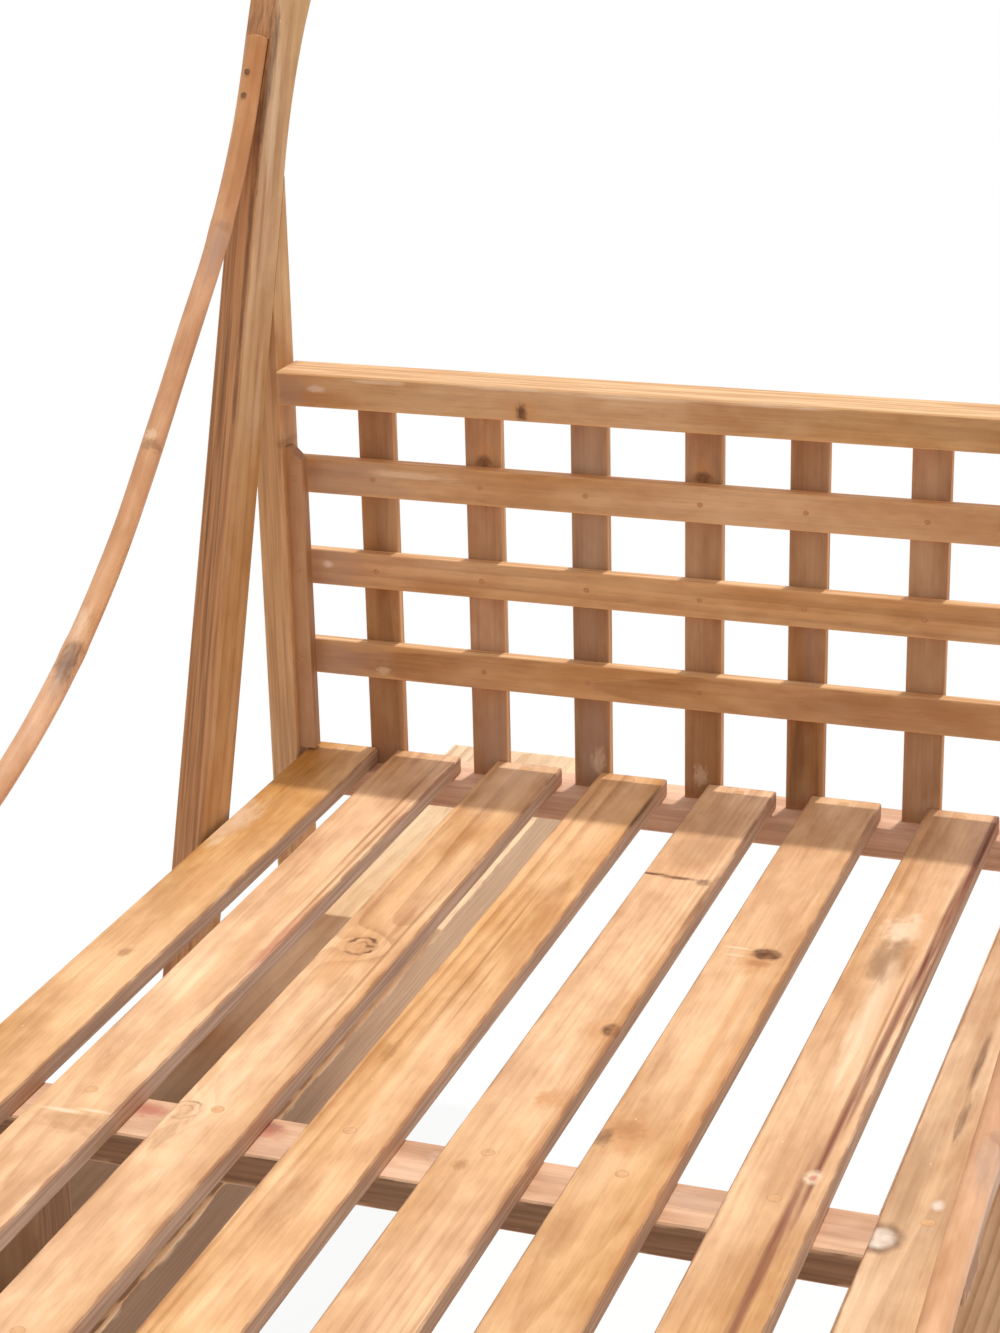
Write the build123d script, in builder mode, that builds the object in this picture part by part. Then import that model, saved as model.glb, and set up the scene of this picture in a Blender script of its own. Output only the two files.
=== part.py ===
import os
from itertools import accumulate
from math import cos, hypot, radians, tan

from build123d import *

# A slatted wooden porch swing. Lengths are in millimetres. The origin is the middle of the
# axis that the swing hangs from, +Z is up, +Y is towards the back rest and +X runs to the
# right as seen by someone who stands in front of the seat.

# Where the swing hangs, measured from the seat
hang_drop = 1150.0
pivot_to_back = 267.5

# Seat. The slats were set by eye: the parts share out the room that they leave
inner_width = 576.0
slat_width = 48.0
slat_thick = 12.0
slat_length = 760.0
slat_side_gap = 4.5
slat_gap_parts = (15.0, 27.0, 28.0, 29.0, 24.0, 31.0, 29.0)
seat_rail_width = 40.0
seat_rail_thick = 20.0
back_rail_reach = 21.0
middle_rail_back = 494.0
front_overhang = 8.0
middle_rail_inset = 6.0

# Lattice back rest, with heights above the seat. The parts share out the uprights' steps
upright_width = 25.5
upright_thick = 8.0
upright_inset = 60.0
upright_step_parts = (77.5, 75.0, 79.0, 71.0, 79.5, 74.0)
lattice_rail_count = 3
lattice_rail_height = 25.0
lattice_rail_thick = 9.0
lattice_rail_pitch = 66.0
lattice_rail_first = 56.0
top_rail_lift = 253.5
top_rail_height = 23.0
top_rail_nose = 27.0
cleat_width = 12.0
cleat_thick = 10.0
cleat_top = 222.0
cleat_lift = 2.0
cleat_bevel = 9.0

# Side frames
side_thick = 20.0
post_width = 42.5
post_lean = 19.1
post_at_seat = 159.0
knee_height = 412.0
head_front_step = 80.0
head_front_rise = 170.0
head_back_step = 104.0
head_back_rise = 150.0
head_round = 9.0
back_post_depth = 28.0
back_post_nose = 24.0
front_post_width = 40.0

# Bent rods that serve as arms. Setbacks are from the slats' back ends, the lower bend's reach is
# from their front ends, and heights are above the seat
rod_diameter = 15.0
rod_top_setback = 7.3
rod_top_height = 495.5
rod_upper_setback = 57.9
rod_upper_height = 400.4
rod_lower_reach = 413.2
rod_lower_height = 127.1
rod_front_height = 61.5
rod_upper_radius = 410.0
rod_lower_radius = 520.0

# Carrying planks under the sides, and the short legs on them
plank_width = 119.0
plank_thick = 50.0
plank_drop = 136.0
plank_back_reach = 345.0
plank_front_reach = 30.0
plank_edge = 2.0
leg_width = 40.0
leg_inset = 22.0

# Chains, eye bolts, rings and ceiling hooks
eye_standoff = 32.0
eye_radius = 14.0
eye_wire = 8.0
eye_depth = 32.0
front_eye_drop = 66.0
bolt_diameter = 10.0
bolt_end = 3.0
nut_across = 17.0
nut_height = 8.0
washer_diameter = 24.0
washer_thick = 2.0
link_pitch = 42.0
link_wire = 6.0
ring_radius = 22.0
ring_wire = 8.0
hook_wire = 10.0
hook_half = 18.0
hook_bend = 12.0
hook_neck = 8.0
hook_throat = 30.0
hook_tip = 22.0
hook_shoulder = 44.0
hook_shank = 76.0
hook_point = 3.0
chain_slack = 0.3

# Wood screws and nails
slat_screw_shank = 3.5
slat_screw_head = 7.0
slat_screw_length = 27.0
frame_screw_shank = 5.0
frame_screw_head = 10.0
frame_screw_length = 40.0
foot_screw_shank = 6.0
foot_screw_head = 12.0
foot_screw_length = 86.0
post_screw_shift = 7.0
brace_screw_length = 46.0
leg_screw_length = 55.0
leg_screw_offset = 11.0
brad_shank = 1.6
brad_head = 3.6
brad_length = 15.0
rod_nail_shank = 2.2
rod_nail_head = 4.0
rod_nail_length = 40.0
rod_nail_first = 26.0
rod_nail_step = 16.0
rod_top_nails = 2
head_share = 0.45
fit = 0.15
edge_ease = 1.0

# Levels and lines that the pieces share
seat_top = -hang_drop
seat_back = pivot_to_back
seat_front = seat_back - slat_length
inner_half = inner_width / 2
side_half = inner_half + side_thick / 2
outer_half = inner_half + side_thick
slat_under = seat_top - slat_thick
rail_under = slat_under - seat_rail_thick
plank_top = seat_top - plank_drop
top_rail_under = seat_top + top_rail_lift
top_rail_back = seat_back + upright_thick
back_post_front = seat_back - back_post_nose
back_post_back = back_post_front + back_post_depth
front_post_front = seat_front + front_overhang
front_post_back = front_post_front + front_post_width
front_post_mid = (front_post_front + front_post_back) / 2
hang_half = outer_half + eye_standoff
sides = {"left": -1, "right": 1}
down = (Align.CENTER, Align.CENTER, Align.MAX)

slat_count = len(slat_gap_parts) + 1
slat_room = inner_width - 2 * slat_side_gap - slat_count * slat_width
slat_steps = [slat_width + slat_room * part / sum(slat_gap_parts) for part in slat_gap_parts]
first_slat = -inner_half + slat_side_gap + slat_width / 2
slat_centres = list(accumulate(slat_steps, initial=first_slat))
upright_room = inner_width - 2 * upright_inset
upright_steps = [upright_room * part / sum(upright_step_parts) for part in upright_step_parts]
upright_centres = list(accumulate(upright_steps, initial=-inner_half + upright_inset))
lattice_first = seat_top + lattice_rail_first
lattice_levels = [lattice_first + i * lattice_rail_pitch for i in range(lattice_rail_count)]
rod_route = [
    (seat_back - rod_top_setback, seat_top + rod_top_height),
    (seat_back - rod_upper_setback, seat_top + rod_upper_height),
    (seat_front + rod_lower_reach, seat_top + rod_lower_height),
    (seat_front, seat_top + rod_front_height),
]

# Back edge and half length of each seat rail, and the lines that its slat screws lie on
seat_rails = {
    "back": (seat_back + back_rail_reach, inner_half),
    "middle": (seat_back - middle_rail_back, inner_half - middle_rail_inset),
    "front": (front_post_front + seat_rail_width, inner_half),
}
rail_lines = {name: back - seat_rail_width / 2 for name, (back, half) in seat_rails.items()}
rail_lines["back"] = seat_back - (seat_rail_width - back_rail_reach) / 2

os.makedirs("parts", exist_ok=True)


def save(piece, name):
    piece.part.label = name
    export_step(piece.part, f"parts/{name}.step")


def block(low, high):
    """Add a box to the open part, given by two opposite corners."""
    middle = [(a + b) / 2 for a, b in zip(low, high)]
    with Locations(tuple(middle)):
        Box(*[b - a for a, b in zip(low, high)])


def span(sign, near, far):
    """Order two distances from the middle of the swing as X limits on one side."""
    return min(sign * near, sign * far), max(sign * near, sign * far)


def screws(planes, shank, head, length, grow=0.0, mode=Mode.ADD):
    """Countersunk screws whose heads lie flush with the planes and point against their normals."""
    with Locations(*planes):
        Cylinder(shank / 2 + grow, length + grow, align=down, mode=mode)
        Cone(shank / 2 + grow, head / 2 + grow, head * head_share, align=down, mode=mode)


def drill(planes, shank, head, length):
    screws(planes, shank, head, length, fit, Mode.SUBTRACT)


def rod_tube(sign, grow):
    """The swept rod of one side, thicker by grow all round."""
    corners = [(sign * side_half, y, z) for y, z in rod_route]
    with BuildPart() as tube:
        with BuildLine():
            path = FilletPolyline(*corners, radius=[rod_upper_radius, rod_lower_radius])
        with BuildSketch(Plane(origin=path @ 0, z_dir=path % 0)):
            Circle(rod_diameter / 2 + grow)
        sweep(path=path)
    return tube, path


# Screw and nail places: each plane lies on the surface under the head and faces outwards
slat_planes = {
    name: [Plane(origin=(x, y, seat_top)) for x in slat_centres] for name, y in rail_lines.items()
}
brad_planes = [
    Plane(origin=(x, seat_back - lattice_rail_thick, z + lattice_rail_height / 2), z_dir=(0, -1, 0))
    for x in upright_centres
    for z in lattice_levels
]
cleat_planes = [
    Plane(
        origin=(
            sign * (inner_half - cleat_width / 2),
            seat_back - lattice_rail_thick - cleat_thick,
            z + lattice_rail_height / 2,
        ),
        z_dir=(0, -1, 0),
    )
    for sign in sides.values()
    for z in lattice_levels
]
back_post_mid = (back_post_front + back_post_back) / 2
lean = tan(radians(post_lean))
post_half = post_width / 2 / cos(radians(post_lean))


def post_line(height):
    """Y of the leaning post's middle at a height above the seat."""
    return seat_back - post_at_seat + height * lean


mitre_low = (back_post_front - post_line(0) - post_half) / lean
mitre_high = (back_post_back - post_line(0) - post_half) / lean
brace_level = seat_top + (mitre_low + mitre_high) / 2 - brad_length
leg_centre = inner_half - leg_inset - leg_width / 2

frame_planes = []
foot_planes = []
brace_planes = []
leg_planes = []
for sign in sides.values():
    outer = sign * outer_half
    for y, z in (
        (back_post_mid, top_rail_under + top_rail_height / 2),
        (back_post_mid, slat_under - seat_rail_thick / 2),
        (front_post_mid, slat_under - seat_rail_thick / 2),
    ):
        frame_planes.append(Plane(origin=(outer, y, z), z_dir=(sign, 0, 0)))
    foot_lines = (
        (side_half, post_line(-plank_drop) + post_screw_shift),
        (side_half, back_post_mid),
        (side_half, front_post_mid),
        (leg_centre, rail_lines["middle"]),
    )
    for x, y in foot_lines:
        foot_planes.append(Plane(origin=(sign * x, y, plank_top - plank_thick), z_dir=(0, 0, -1)))
    brace_planes.append(Plane(origin=(sign * side_half, back_post_back, brace_level), z_dir=(0, 1, 0)))
    leg_planes.append(
        Plane(origin=(sign * leg_centre, rail_lines["middle"] + leg_screw_offset, slat_under))
    )

frame_screw = (frame_screw_shank, frame_screw_head, frame_screw_length)
foot_screw = (foot_screw_shank, foot_screw_head, foot_screw_length)
brace_screw = (frame_screw_shank, frame_screw_head, brace_screw_length)
leg_screw = (frame_screw_shank, frame_screw_head, leg_screw_length)
slat_screw = (slat_screw_shank, slat_screw_head, slat_screw_length)
brad = (brad_shank, brad_head, brad_length)
rod_nail = (rod_nail_shank, rod_nail_head, rod_nail_length)

rod_planes = {}
rods = {}
for side, sign in sides.items():
    rods[side], path = rod_tube(sign, 0.0)
    rod_planes[side] = []
    for i in range(rod_top_nails):
        share = (rod_nail_first + i * rod_nail_step) / path.length
        along = path % share
        outward = Vector(1, 0, 0).cross(along)
        surface = (path @ share) - outward * (rod_diameter / 2)
        rod_planes[side].append(Plane(origin=surface, z_dir=-outward))
    rise = rod_lower_height - rod_front_height
    front_level = rod_route[-1][1] + (front_post_mid - seat_front) * rise / rod_lower_reach
    crown = front_level + rod_diameter / 2 * hypot(rod_lower_reach, rise) / rod_lower_reach
    rod_planes[side].append(Plane(origin=(sign * side_half, front_post_mid, crown)))

# The eye bolts' places: the back pair near the heads of the leaning posts, the front pair
# through the front posts below the seat rails
knee_front = (post_line(knee_height) - post_half, seat_top + knee_height)
knee_back = (post_line(knee_height) + post_half, seat_top + knee_height)
head_front = (knee_front[0] + head_front_step, knee_front[1] + head_front_rise)
head_back = (knee_back[0] + head_back_step, knee_back[1] + head_back_rise)
foot_front = (post_line(-plank_drop) - post_half, plank_top)
foot_back = (post_line(-plank_drop) + post_half, plank_top)
head_mid = [(a + b) / 2 for a, b in zip(head_front, head_back)]
knee_mid = [(a + b) / 2 for a, b in zip(knee_front, knee_back)]
head_length = hypot(head_mid[0] - knee_mid[0], head_mid[1] - knee_mid[1])
head_part = 1 - eye_depth / head_length
eye_spots = {
    "back": [a + (b - a) * head_part for a, b in zip(knee_mid, head_mid)],
    "front": [front_post_mid, seat_top - front_eye_drop],
}
ring_centre = hook_wire / 2 + ring_wire / 2 + chain_slack - ring_radius


def bolt_hole(sign, spot):
    with Locations(Plane(origin=(sign * side_half, *spot), z_dir=(1, 0, 0))):
        Cylinder(bolt_diameter / 2 + fit, side_thick * 2, mode=Mode.SUBTRACT)


# Seat slats, numbered from the left
for number, x in enumerate(slat_centres, 1):
    with BuildPart() as seat_slat:
        block((x - slat_width / 2, seat_front, slat_under), (x + slat_width / 2, seat_back, seat_top))
        chamfer(seat_slat.edges(), edge_ease)
        drill([planes[number - 1] for planes in slat_planes.values()], *slat_screw)
    save(seat_slat, f"seat_slat_{number}")

# Rails that the slats lie on
for name, (back, half) in seat_rails.items():
    with BuildPart() as seat_rail:
        block((-half, back - seat_rail_width, rail_under), (half, back, slat_under))
        chamfer(seat_rail.edges().filter_by(Axis.X), edge_ease)
        drill(slat_planes[name], *slat_screw)
        if name == "middle":
            drill(leg_planes, *leg_screw)
        else:
            drill(frame_planes, *frame_screw)
    save(seat_rail, f"{name}_seat_rail")

# Lattice uprights stand on the back seat rail and carry the top rail
for number, x in enumerate(upright_centres, 1):
    with BuildPart() as upright:
        block(
            (x - upright_width / 2, seat_back, slat_under),
            (x + upright_width / 2, seat_back + upright_thick, top_rail_under),
        )
        chamfer(upright.edges().filter_by(Axis.Z), edge_ease / 2)
        drill([plane for plane in brad_planes if abs(plane.origin.X - x) < upright_width / 2], *brad)
    save(upright, f"lattice_upright_{number}")

# Lattice rails lie on the uprights' fronts, with their ends behind the cleats
for number, z in enumerate(lattice_levels, 1):
    with BuildPart() as lattice_rail:
        block(
            (-inner_half, seat_back - lattice_rail_thick, z),
            (inner_half, seat_back, z + lattice_rail_height),
        )
        chamfer(lattice_rail.edges().filter_by(Axis.X), edge_ease / 2)
        drill(brad_planes, *brad)
        drill(cleat_planes, *brad)
    save(lattice_rail, f"lattice_rail_{number}")

with BuildPart() as top_rail:
    block(
        (-inner_half, seat_back - top_rail_nose, top_rail_under),
        (inner_half, top_rail_back, top_rail_under + top_rail_height),
    )
    chamfer(top_rail.edges().filter_by(Axis.X), edge_ease)
    drill(frame_planes, *frame_screw)
save(top_rail, "top_rail")

for side, sign in sides.items():
    with BuildPart() as cleat:
        low, high = span(sign, inner_half - cleat_width, inner_half)
        front = seat_back - lattice_rail_thick - cleat_thick
        block((low, front, seat_top + cleat_lift), (high, front + cleat_thick, seat_top + cleat_top))
        tip = cleat.faces().sort_by(Axis.Z)[-1].edges().filter_by(Axis.Y).sort_by(Axis.X)
        chamfer(tip[0 if sign > 0 else -1], cleat_bevel)
        drill(cleat_planes, *brad)
    save(cleat, f"{side}_lattice_cleat")

# Leaning side posts: straight up to the knee, then bending back into a wider head
for side, sign in sides.items():
    low, high = span(sign, inner_half, outer_half)
    groove, path = rod_tube(sign, fit)
    with BuildPart() as side_post:
        with BuildSketch(Plane.YZ.offset(low)):
            with BuildLine():
                front_edge = Line(foot_front, knee_front)
                TangentArc(knee_front, head_front, tangent=front_edge % 1)
                back_edge = Line(foot_back, knee_back)
                TangentArc(knee_back, head_back, tangent=back_edge % 1)
                Line(head_front, head_back)
                Line(foot_front, foot_back)
            profile = make_face()
            fillet(profile.vertices().sort_by(Axis.Z)[-2:], head_round)
        extrude(amount=high - low)
        chamfer(side_post.faces().filter_by(Axis.X).edges(), edge_ease)
        add(groove.part, mode=Mode.SUBTRACT)
        drill(rod_planes[side], *rod_nail)
        drill(foot_planes, *foot_screw)
        drill(brace_planes, *brace_screw)
        bolt_hole(sign, eye_spots["back"])
    save(side_post, f"{side}_side_post")

# Upright back posts, mitred against the leaning posts' back edges
for side, sign in sides.items():
    low, high = span(sign, inner_half, outer_half)
    with BuildPart() as back_post:
        with BuildSketch(Plane.YZ.offset(low)):
            with BuildLine():
                Polyline(
                    (back_post_front, plank_top),
                    (back_post_back, plank_top),
                    (back_post_back, seat_top + mitre_high),
                    (back_post_front, seat_top + mitre_low),
                    close=True,
                )
            make_face()
        extrude(amount=high - low)
        chamfer(back_post.edges().filter_by(Axis.Z), edge_ease)
        drill(frame_planes, *frame_screw)
        drill(foot_planes, *foot_screw)
        drill(brace_planes, *brace_screw)
    save(back_post, f"{side}_back_post")

# Short front posts carry the front rail, the rods' front ends and the front eye bolts
for side, sign in sides.items():
    low, high = span(sign, inner_half, outer_half)
    groove, path = rod_tube(sign, fit)
    with BuildPart() as front_post:
        block((low, front_post_front, plank_top), (high, front_post_back, front_level))
        chamfer(front_post.edges().filter_by(Axis.Z), edge_ease)
        add(groove.part, mode=Mode.SUBTRACT)
        drill(rod_planes[side], *rod_nail)
        drill(frame_planes, *frame_screw)
        drill(foot_planes, *foot_screw)
        bolt_hole(sign, eye_spots["front"])
    save(front_post, f"{side}_front_post")

for side, sign in sides.items():
    with BuildPart() as plank:
        low, high = span(sign, outer_half + plank_edge, outer_half + plank_edge - plank_width)
        block(
            (low, seat_front - plank_front_reach, plank_top - plank_thick),
            (high, seat_back + plank_back_reach, plank_top),
        )
        chamfer(plank.edges(), edge_ease)
        drill(foot_planes, *foot_screw)
    save(plank, f"{side}_plank")

for side, sign in sides.items():
    with BuildPart() as leg:
        low, high = span(sign, leg_centre - leg_width / 2, leg_centre + leg_width / 2)
        middle = rail_lines["middle"]
        block(
            (low, middle - seat_rail_width / 2, plank_top),
            (high, middle + seat_rail_width / 2, rail_under),
        )
        chamfer(leg.edges().filter_by(Axis.Z), edge_ease)
        drill(foot_planes, *foot_screw)
        drill(leg_planes, *leg_screw)
    save(leg, f"{side}_seat_leg")

for side, rod in rods.items():
    with BuildPart() as arm_rod:
        add(rod.part)
        drill(rod_planes[side], *rod_nail)
    save(arm_rod, f"{side}_arm_rod")

# Screws and nails, one node for each kind
fastener_groups = {
    "slat_screws": (sum(slat_planes.values(), []), slat_screw),
    "lattice_nails": (brad_planes, brad),
    "cleat_nails": (cleat_planes, brad),
    "frame_screws": (frame_planes, frame_screw),
    "foot_screws": (foot_planes, foot_screw),
    "brace_screws": (brace_planes, brace_screw),
    "leg_screws": (leg_planes, leg_screw),
    "rod_nails": (sum(rod_planes.values(), []), rod_nail),
}
for name, (planes, size) in fastener_groups.items():
    with BuildPart() as fasteners:
        screws(planes, *size)
    save(fasteners, name)

# Chains from the eye bolts to the ring of their side
link_room = max(eye_wire, ring_wire) + 2 * chain_slack
chain_ways = {}
for end, (y, z) in eye_spots.items():
    reach = Vector(0, -y, ring_centre - z)
    chain_ways[end] = (reach.normalized(), reach.length - ring_radius - eye_radius)

for end, (way, clear) in chain_ways.items():
    links = 2 * round(clear / link_pitch / 2)
    taut = clear + eye_wire / 2 + ring_wire / 2 + 2 * chain_slack + (links - 1) * chain_slack
    inner_length = taut / links
    bend = (link_room + link_wire) / 2
    straight = (inner_length - link_room) / 2
    with BuildPart() as link:
        with BuildLine(Plane.XZ):
            Line((bend, -straight), (bend, straight))
            ThreePointArc((bend, straight), (0, straight + bend), (-bend, straight))
            Line((-bend, straight), (-bend, -straight))
            ThreePointArc((-bend, -straight), (0, -straight - bend), (bend, -straight))
        with BuildSketch(Plane.XY.offset(-straight)):
            with Locations((bend, 0)):
                Circle(link_wire / 2)
        sweep()
    across = Vector(1, 0, 0).cross(way)
    start = eye_radius - eye_wire / 2 - chain_slack + inner_length / 2
    for side, sign in sides.items():
        eye = Vector(sign * hang_half, *eye_spots[end])
        places = []
        for i in range(links):
            middle = eye + way * (start + i * (inner_length - chain_slack))
            wide = across if i % 2 == 0 else Vector(1, 0, 0)
            places.append(Plane(origin=middle, x_dir=wide, z_dir=way))
        with BuildPart() as chain:
            with Locations(*places):
                add(link.part)
        save(chain, f"{side}_{end}_chain")
        with BuildPart() as eye_bolt:
            with Locations(Plane(origin=eye, x_dir=(1, 0, 0), z_dir=across)):
                Torus(eye_radius, eye_wire / 2)
            shank = eye_standoff - eye_radius + side_thick + washer_thick + nut_height + bolt_end
            with Locations(Plane(origin=eye - Vector(sign * eye_radius, 0, 0), z_dir=(sign, 0, 0))):
                Cylinder(bolt_diameter / 2, shank, align=down)
        save(eye_bolt, f"{side}_{end}_eye_bolt")

# Nuts and washers clamp both faces of each post that an eye bolt goes through
with BuildPart() as nuts:
    for sign in sides.values():
        for spot in eye_spots.values():
            for face, way in ((outer_half + washer_thick, sign), (inner_half - washer_thick, -sign)):
                with BuildSketch(Plane(origin=(sign * face, *spot), z_dir=(way, 0, 0))):
                    RegularPolygon(nut_across / 2, 6, major_radius=False)
                    Circle(bolt_diameter / 2 + fit, mode=Mode.SUBTRACT)
                extrude(amount=nut_height)
save(nuts, "eye_bolt_nuts")

with BuildPart() as washers:
    for sign in sides.values():
        for spot in eye_spots.values():
            for face, way in ((outer_half, sign), (inner_half, -sign)):
                with BuildSketch(Plane(origin=(sign * face, *spot), z_dir=(way, 0, 0))):
                    Circle(washer_diameter / 2)
                    Circle(bolt_diameter / 2 + fit, mode=Mode.SUBTRACT)
                extrude(amount=washer_thick)
save(washers, "eye_bolt_washers")

# Rings turn on the straight bottoms of the ceiling hooks
for side, sign in sides.items():
    with BuildPart() as ring:
        with Locations(Plane(origin=(sign * hang_half, 0, ring_centre), z_dir=(1, 0, 0))):
            Torus(ring_radius, ring_wire / 2)
    save(ring, f"{side}_hanging_ring")

    route = (
        (0, hook_shoulder + hook_shank),
        (0, hook_shoulder),
        (hook_half, hook_throat),
        (hook_half, 0),
        (-hook_half, 0),
        (-hook_half, hook_tip),
    )
    corners = [(sign * (hang_half + x), 0, z) for x, z in route]
    with BuildPart() as hook:
        with BuildLine():
            path = FilletPolyline(*corners, radius=[hook_neck, hook_neck, hook_bend, hook_bend])
        with BuildSketch(Plane(origin=path @ 0, z_dir=path % 0)):
            Circle(hook_wire / 2)
        sweep(path=path)
        chamfer(hook.faces().sort_by(Axis.Z)[-1].edges(), hook_point)
    save(hook, f"{side}_ceiling_hook")
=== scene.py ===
import math
import random
import bmesh
import bpy
from mathutils import Matrix, Vector, noise


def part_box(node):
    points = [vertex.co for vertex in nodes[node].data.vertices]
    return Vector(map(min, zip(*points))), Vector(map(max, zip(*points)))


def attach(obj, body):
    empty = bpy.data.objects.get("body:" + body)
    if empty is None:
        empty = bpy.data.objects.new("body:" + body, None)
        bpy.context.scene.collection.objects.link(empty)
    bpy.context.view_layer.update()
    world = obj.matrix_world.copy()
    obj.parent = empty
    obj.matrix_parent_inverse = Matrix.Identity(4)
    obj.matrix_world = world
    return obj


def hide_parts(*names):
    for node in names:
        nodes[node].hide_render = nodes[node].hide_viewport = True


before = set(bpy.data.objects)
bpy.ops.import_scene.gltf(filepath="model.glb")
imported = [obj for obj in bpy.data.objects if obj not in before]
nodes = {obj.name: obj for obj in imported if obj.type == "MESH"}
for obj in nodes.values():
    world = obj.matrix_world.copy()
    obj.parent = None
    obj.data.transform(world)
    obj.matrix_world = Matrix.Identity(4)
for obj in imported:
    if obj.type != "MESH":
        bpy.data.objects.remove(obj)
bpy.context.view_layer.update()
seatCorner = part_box("seat_slat_1")[1]
seatTop, seatBack = seatCorner.z, seatCorner.y  # seat surface, and the line of the slats' back ends
sideMid = sum(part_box("right_side_post"), Vector()).x / 2
scene = bpy.context.scene
print("frame:", len(nodes), "nodes, seat top at", round(seatTop, 3))


def onSeat(x, y, z=0.0):
    return Vector((x, seatBack + y, seatTop + z))


def linkMesh(bm, meshName, name):
    mesh = bpy.data.meshes.new(meshName)
    bm.to_mesh(mesh)
    bm.free()
    made = bpy.data.objects.new(name, mesh)
    scene.collection.objects.link(made)
    return made


def vertsOf(geometry):
    return [item for item in geometry if isinstance(item, bmesh.types.BMVert)]


def edgesOf(geometry):
    return [item for item in geometry if isinstance(item, bmesh.types.BMEdge)]


# the next ring of a tube, on top of the last one
def nextRing(bm, rim):
    made = bmesh.ops.extrude_edge_only(bm, edges=rim)["geom"]
    ring = vertsOf(made)
    return ring, [edge for edge in edgesOf(made) if all(vert in ring for vert in edge.verts)]


# camera and light

cameraSet = {
    "eye": (0.46497, -1.67723, 0.71235),  # from the middle of the slats' back ends
    "right": (0.9428, 0.3327, -0.0219),
    "behind": (0.3201, -0.8848, 0.3387),
    "lens": 73.97,
    "film": 36.0,
    "near": 0.01,
}
lightSet = {
    "sunFrom": (0.04, 0.215, 1.0),
    "sunStrength": 1.9,
    "sunSoft": 2.2,
    "roomLevel": 0.66,
    "fillAt": (2.4, -0.9, 0.5),  # from the middle of the slats' back ends
    "fillStrength": 9.0,
    "fillSize": 2.0,
    "floorDrop": 0.45,
    "floorHalf": 5.0,
    "floorColour": (0.86, 0.86, 0.86, 1),
    "floorShade": 0.1,  # share of the floor that takes light and shadow
}


def makeCamera(look):
    data = bpy.data.cameras.new("photoCamera")
    data.sensor_fit = "VERTICAL"
    data.sensor_height = look["film"]
    data.lens = look["lens"]
    data.clip_start = look["near"]
    camera = bpy.data.objects.new("photoCamera", data)
    scene.collection.objects.link(camera)
    scene.camera = camera
    behind = Vector(look["behind"]).normalized()
    up = behind.cross(Vector(look["right"])).normalized()
    turn = Matrix((up.cross(behind), up, behind)).transposed()
    camera.matrix_world = Matrix.Translation(onSeat(*look["eye"])) @ turn.to_4x4()


def plug(tree, value, socket):
    if isinstance(value, bpy.types.NodeSocket):
        tree.links.new(value, socket)
    else:
        socket.default_value = value


def calc(tree, operation, *values):
    step = tree.nodes.new("ShaderNodeMath")
    step.operation = operation
    for value, socket in zip(values, step.inputs):
        plug(tree, value, socket)
    return step.outputs[0]


def seenRays(tree):
    path = tree.nodes.new("ShaderNodeLightPath").outputs
    seen = calc(tree, "MAXIMUM", path["Is Camera Ray"], path["Is Glossy Ray"])
    return calc(tree, "MAXIMUM", seen, path["Is Transmission Ray"])


def makeLight(look):
    sunData = bpy.data.lights.new("skylight", "SUN")
    sunData.energy = look["sunStrength"]
    sunData.angle = math.radians(look["sunSoft"])
    sun = bpy.data.objects.new("skylight", sunData)
    sun.rotation_euler = Vector(look["sunFrom"]).to_track_quat("Z", "Y").to_euler()
    scene.collection.objects.link(sun)

    fillData = bpy.data.lights.new("sideFill", "AREA")
    fillData.energy = look["fillStrength"]
    fillData.size = look["fillSize"]
    fill = bpy.data.objects.new("sideFill", fillData)
    fill.location = onSeat(*look["fillAt"])
    fill.rotation_euler = Vector(look["fillAt"]).to_track_quat("Z", "Y").to_euler()
    scene.collection.objects.link(fill)

    world = bpy.data.worlds.new("room")
    scene.world = world
    world.use_nodes = True
    tree = world.node_tree
    sky = tree.nodes["Background"]
    sky.inputs["Color"].default_value = (1, 1, 1, 1)
    lift = calc(tree, "MULTIPLY", seenRays(tree), 1 - look["roomLevel"])
    plug(tree, calc(tree, "ADD", lift, look["roomLevel"]), sky.inputs["Strength"])

    bm = bmesh.new()
    place = Matrix.Translation((0, 0, seatTop - look["floorDrop"]))
    bmesh.ops.create_grid(bm, x_segments=4, y_segments=4, size=look["floorHalf"], matrix=place)
    floor = linkMesh(bm, "floor", "floor")
    paint = bpy.data.materials.new("paleFloor")
    paint.use_nodes = True
    tree = paint.node_tree
    tree.nodes.clear()
    matt = tree.nodes.new("ShaderNodeBsdfDiffuse")
    matt.inputs["Color"].default_value = look["floorColour"]
    glow = tree.nodes.new("ShaderNodeEmission")
    mixer = tree.nodes.new("ShaderNodeMixShader")
    plug(tree, calc(tree, "MULTIPLY", seenRays(tree), 1 - look["floorShade"]), mixer.inputs[0])
    tree.links.new(matt.outputs[0], mixer.inputs[1])
    tree.links.new(glow.outputs[0], mixer.inputs[2])
    end = tree.nodes.new("ShaderNodeOutputMaterial")
    tree.links.new(mixer.outputs[0], end.inputs["Surface"])
    floor.data.materials.append(paint)


makeCamera(cameraSet)
makeLight(lightSet)
scene.view_settings.view_transform = "Standard"
print("camera and light ready")


# shader helpers

def vectorCalc(tree, operation, *values):
    step = tree.nodes.new("ShaderNodeVectorMath")
    step.operation = operation
    for value, socket in zip(values, step.inputs):
        plug(tree, value, socket)
    return step.outputs["Value" if operation in ("LENGTH", "DOT_PRODUCT") else "Vector"]


def softStep(tree, value, low, high, start=0.0, end=1.0):
    step = tree.nodes.new("ShaderNodeMapRange")
    step.interpolation_type = "SMOOTHSTEP"
    given = {"Value": value, "From Min": low, "From Max": high, "To Min": start, "To Max": end}
    for name, number in given.items():
        plug(tree, number, step.inputs[name])
    return step.outputs["Result"]


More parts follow.
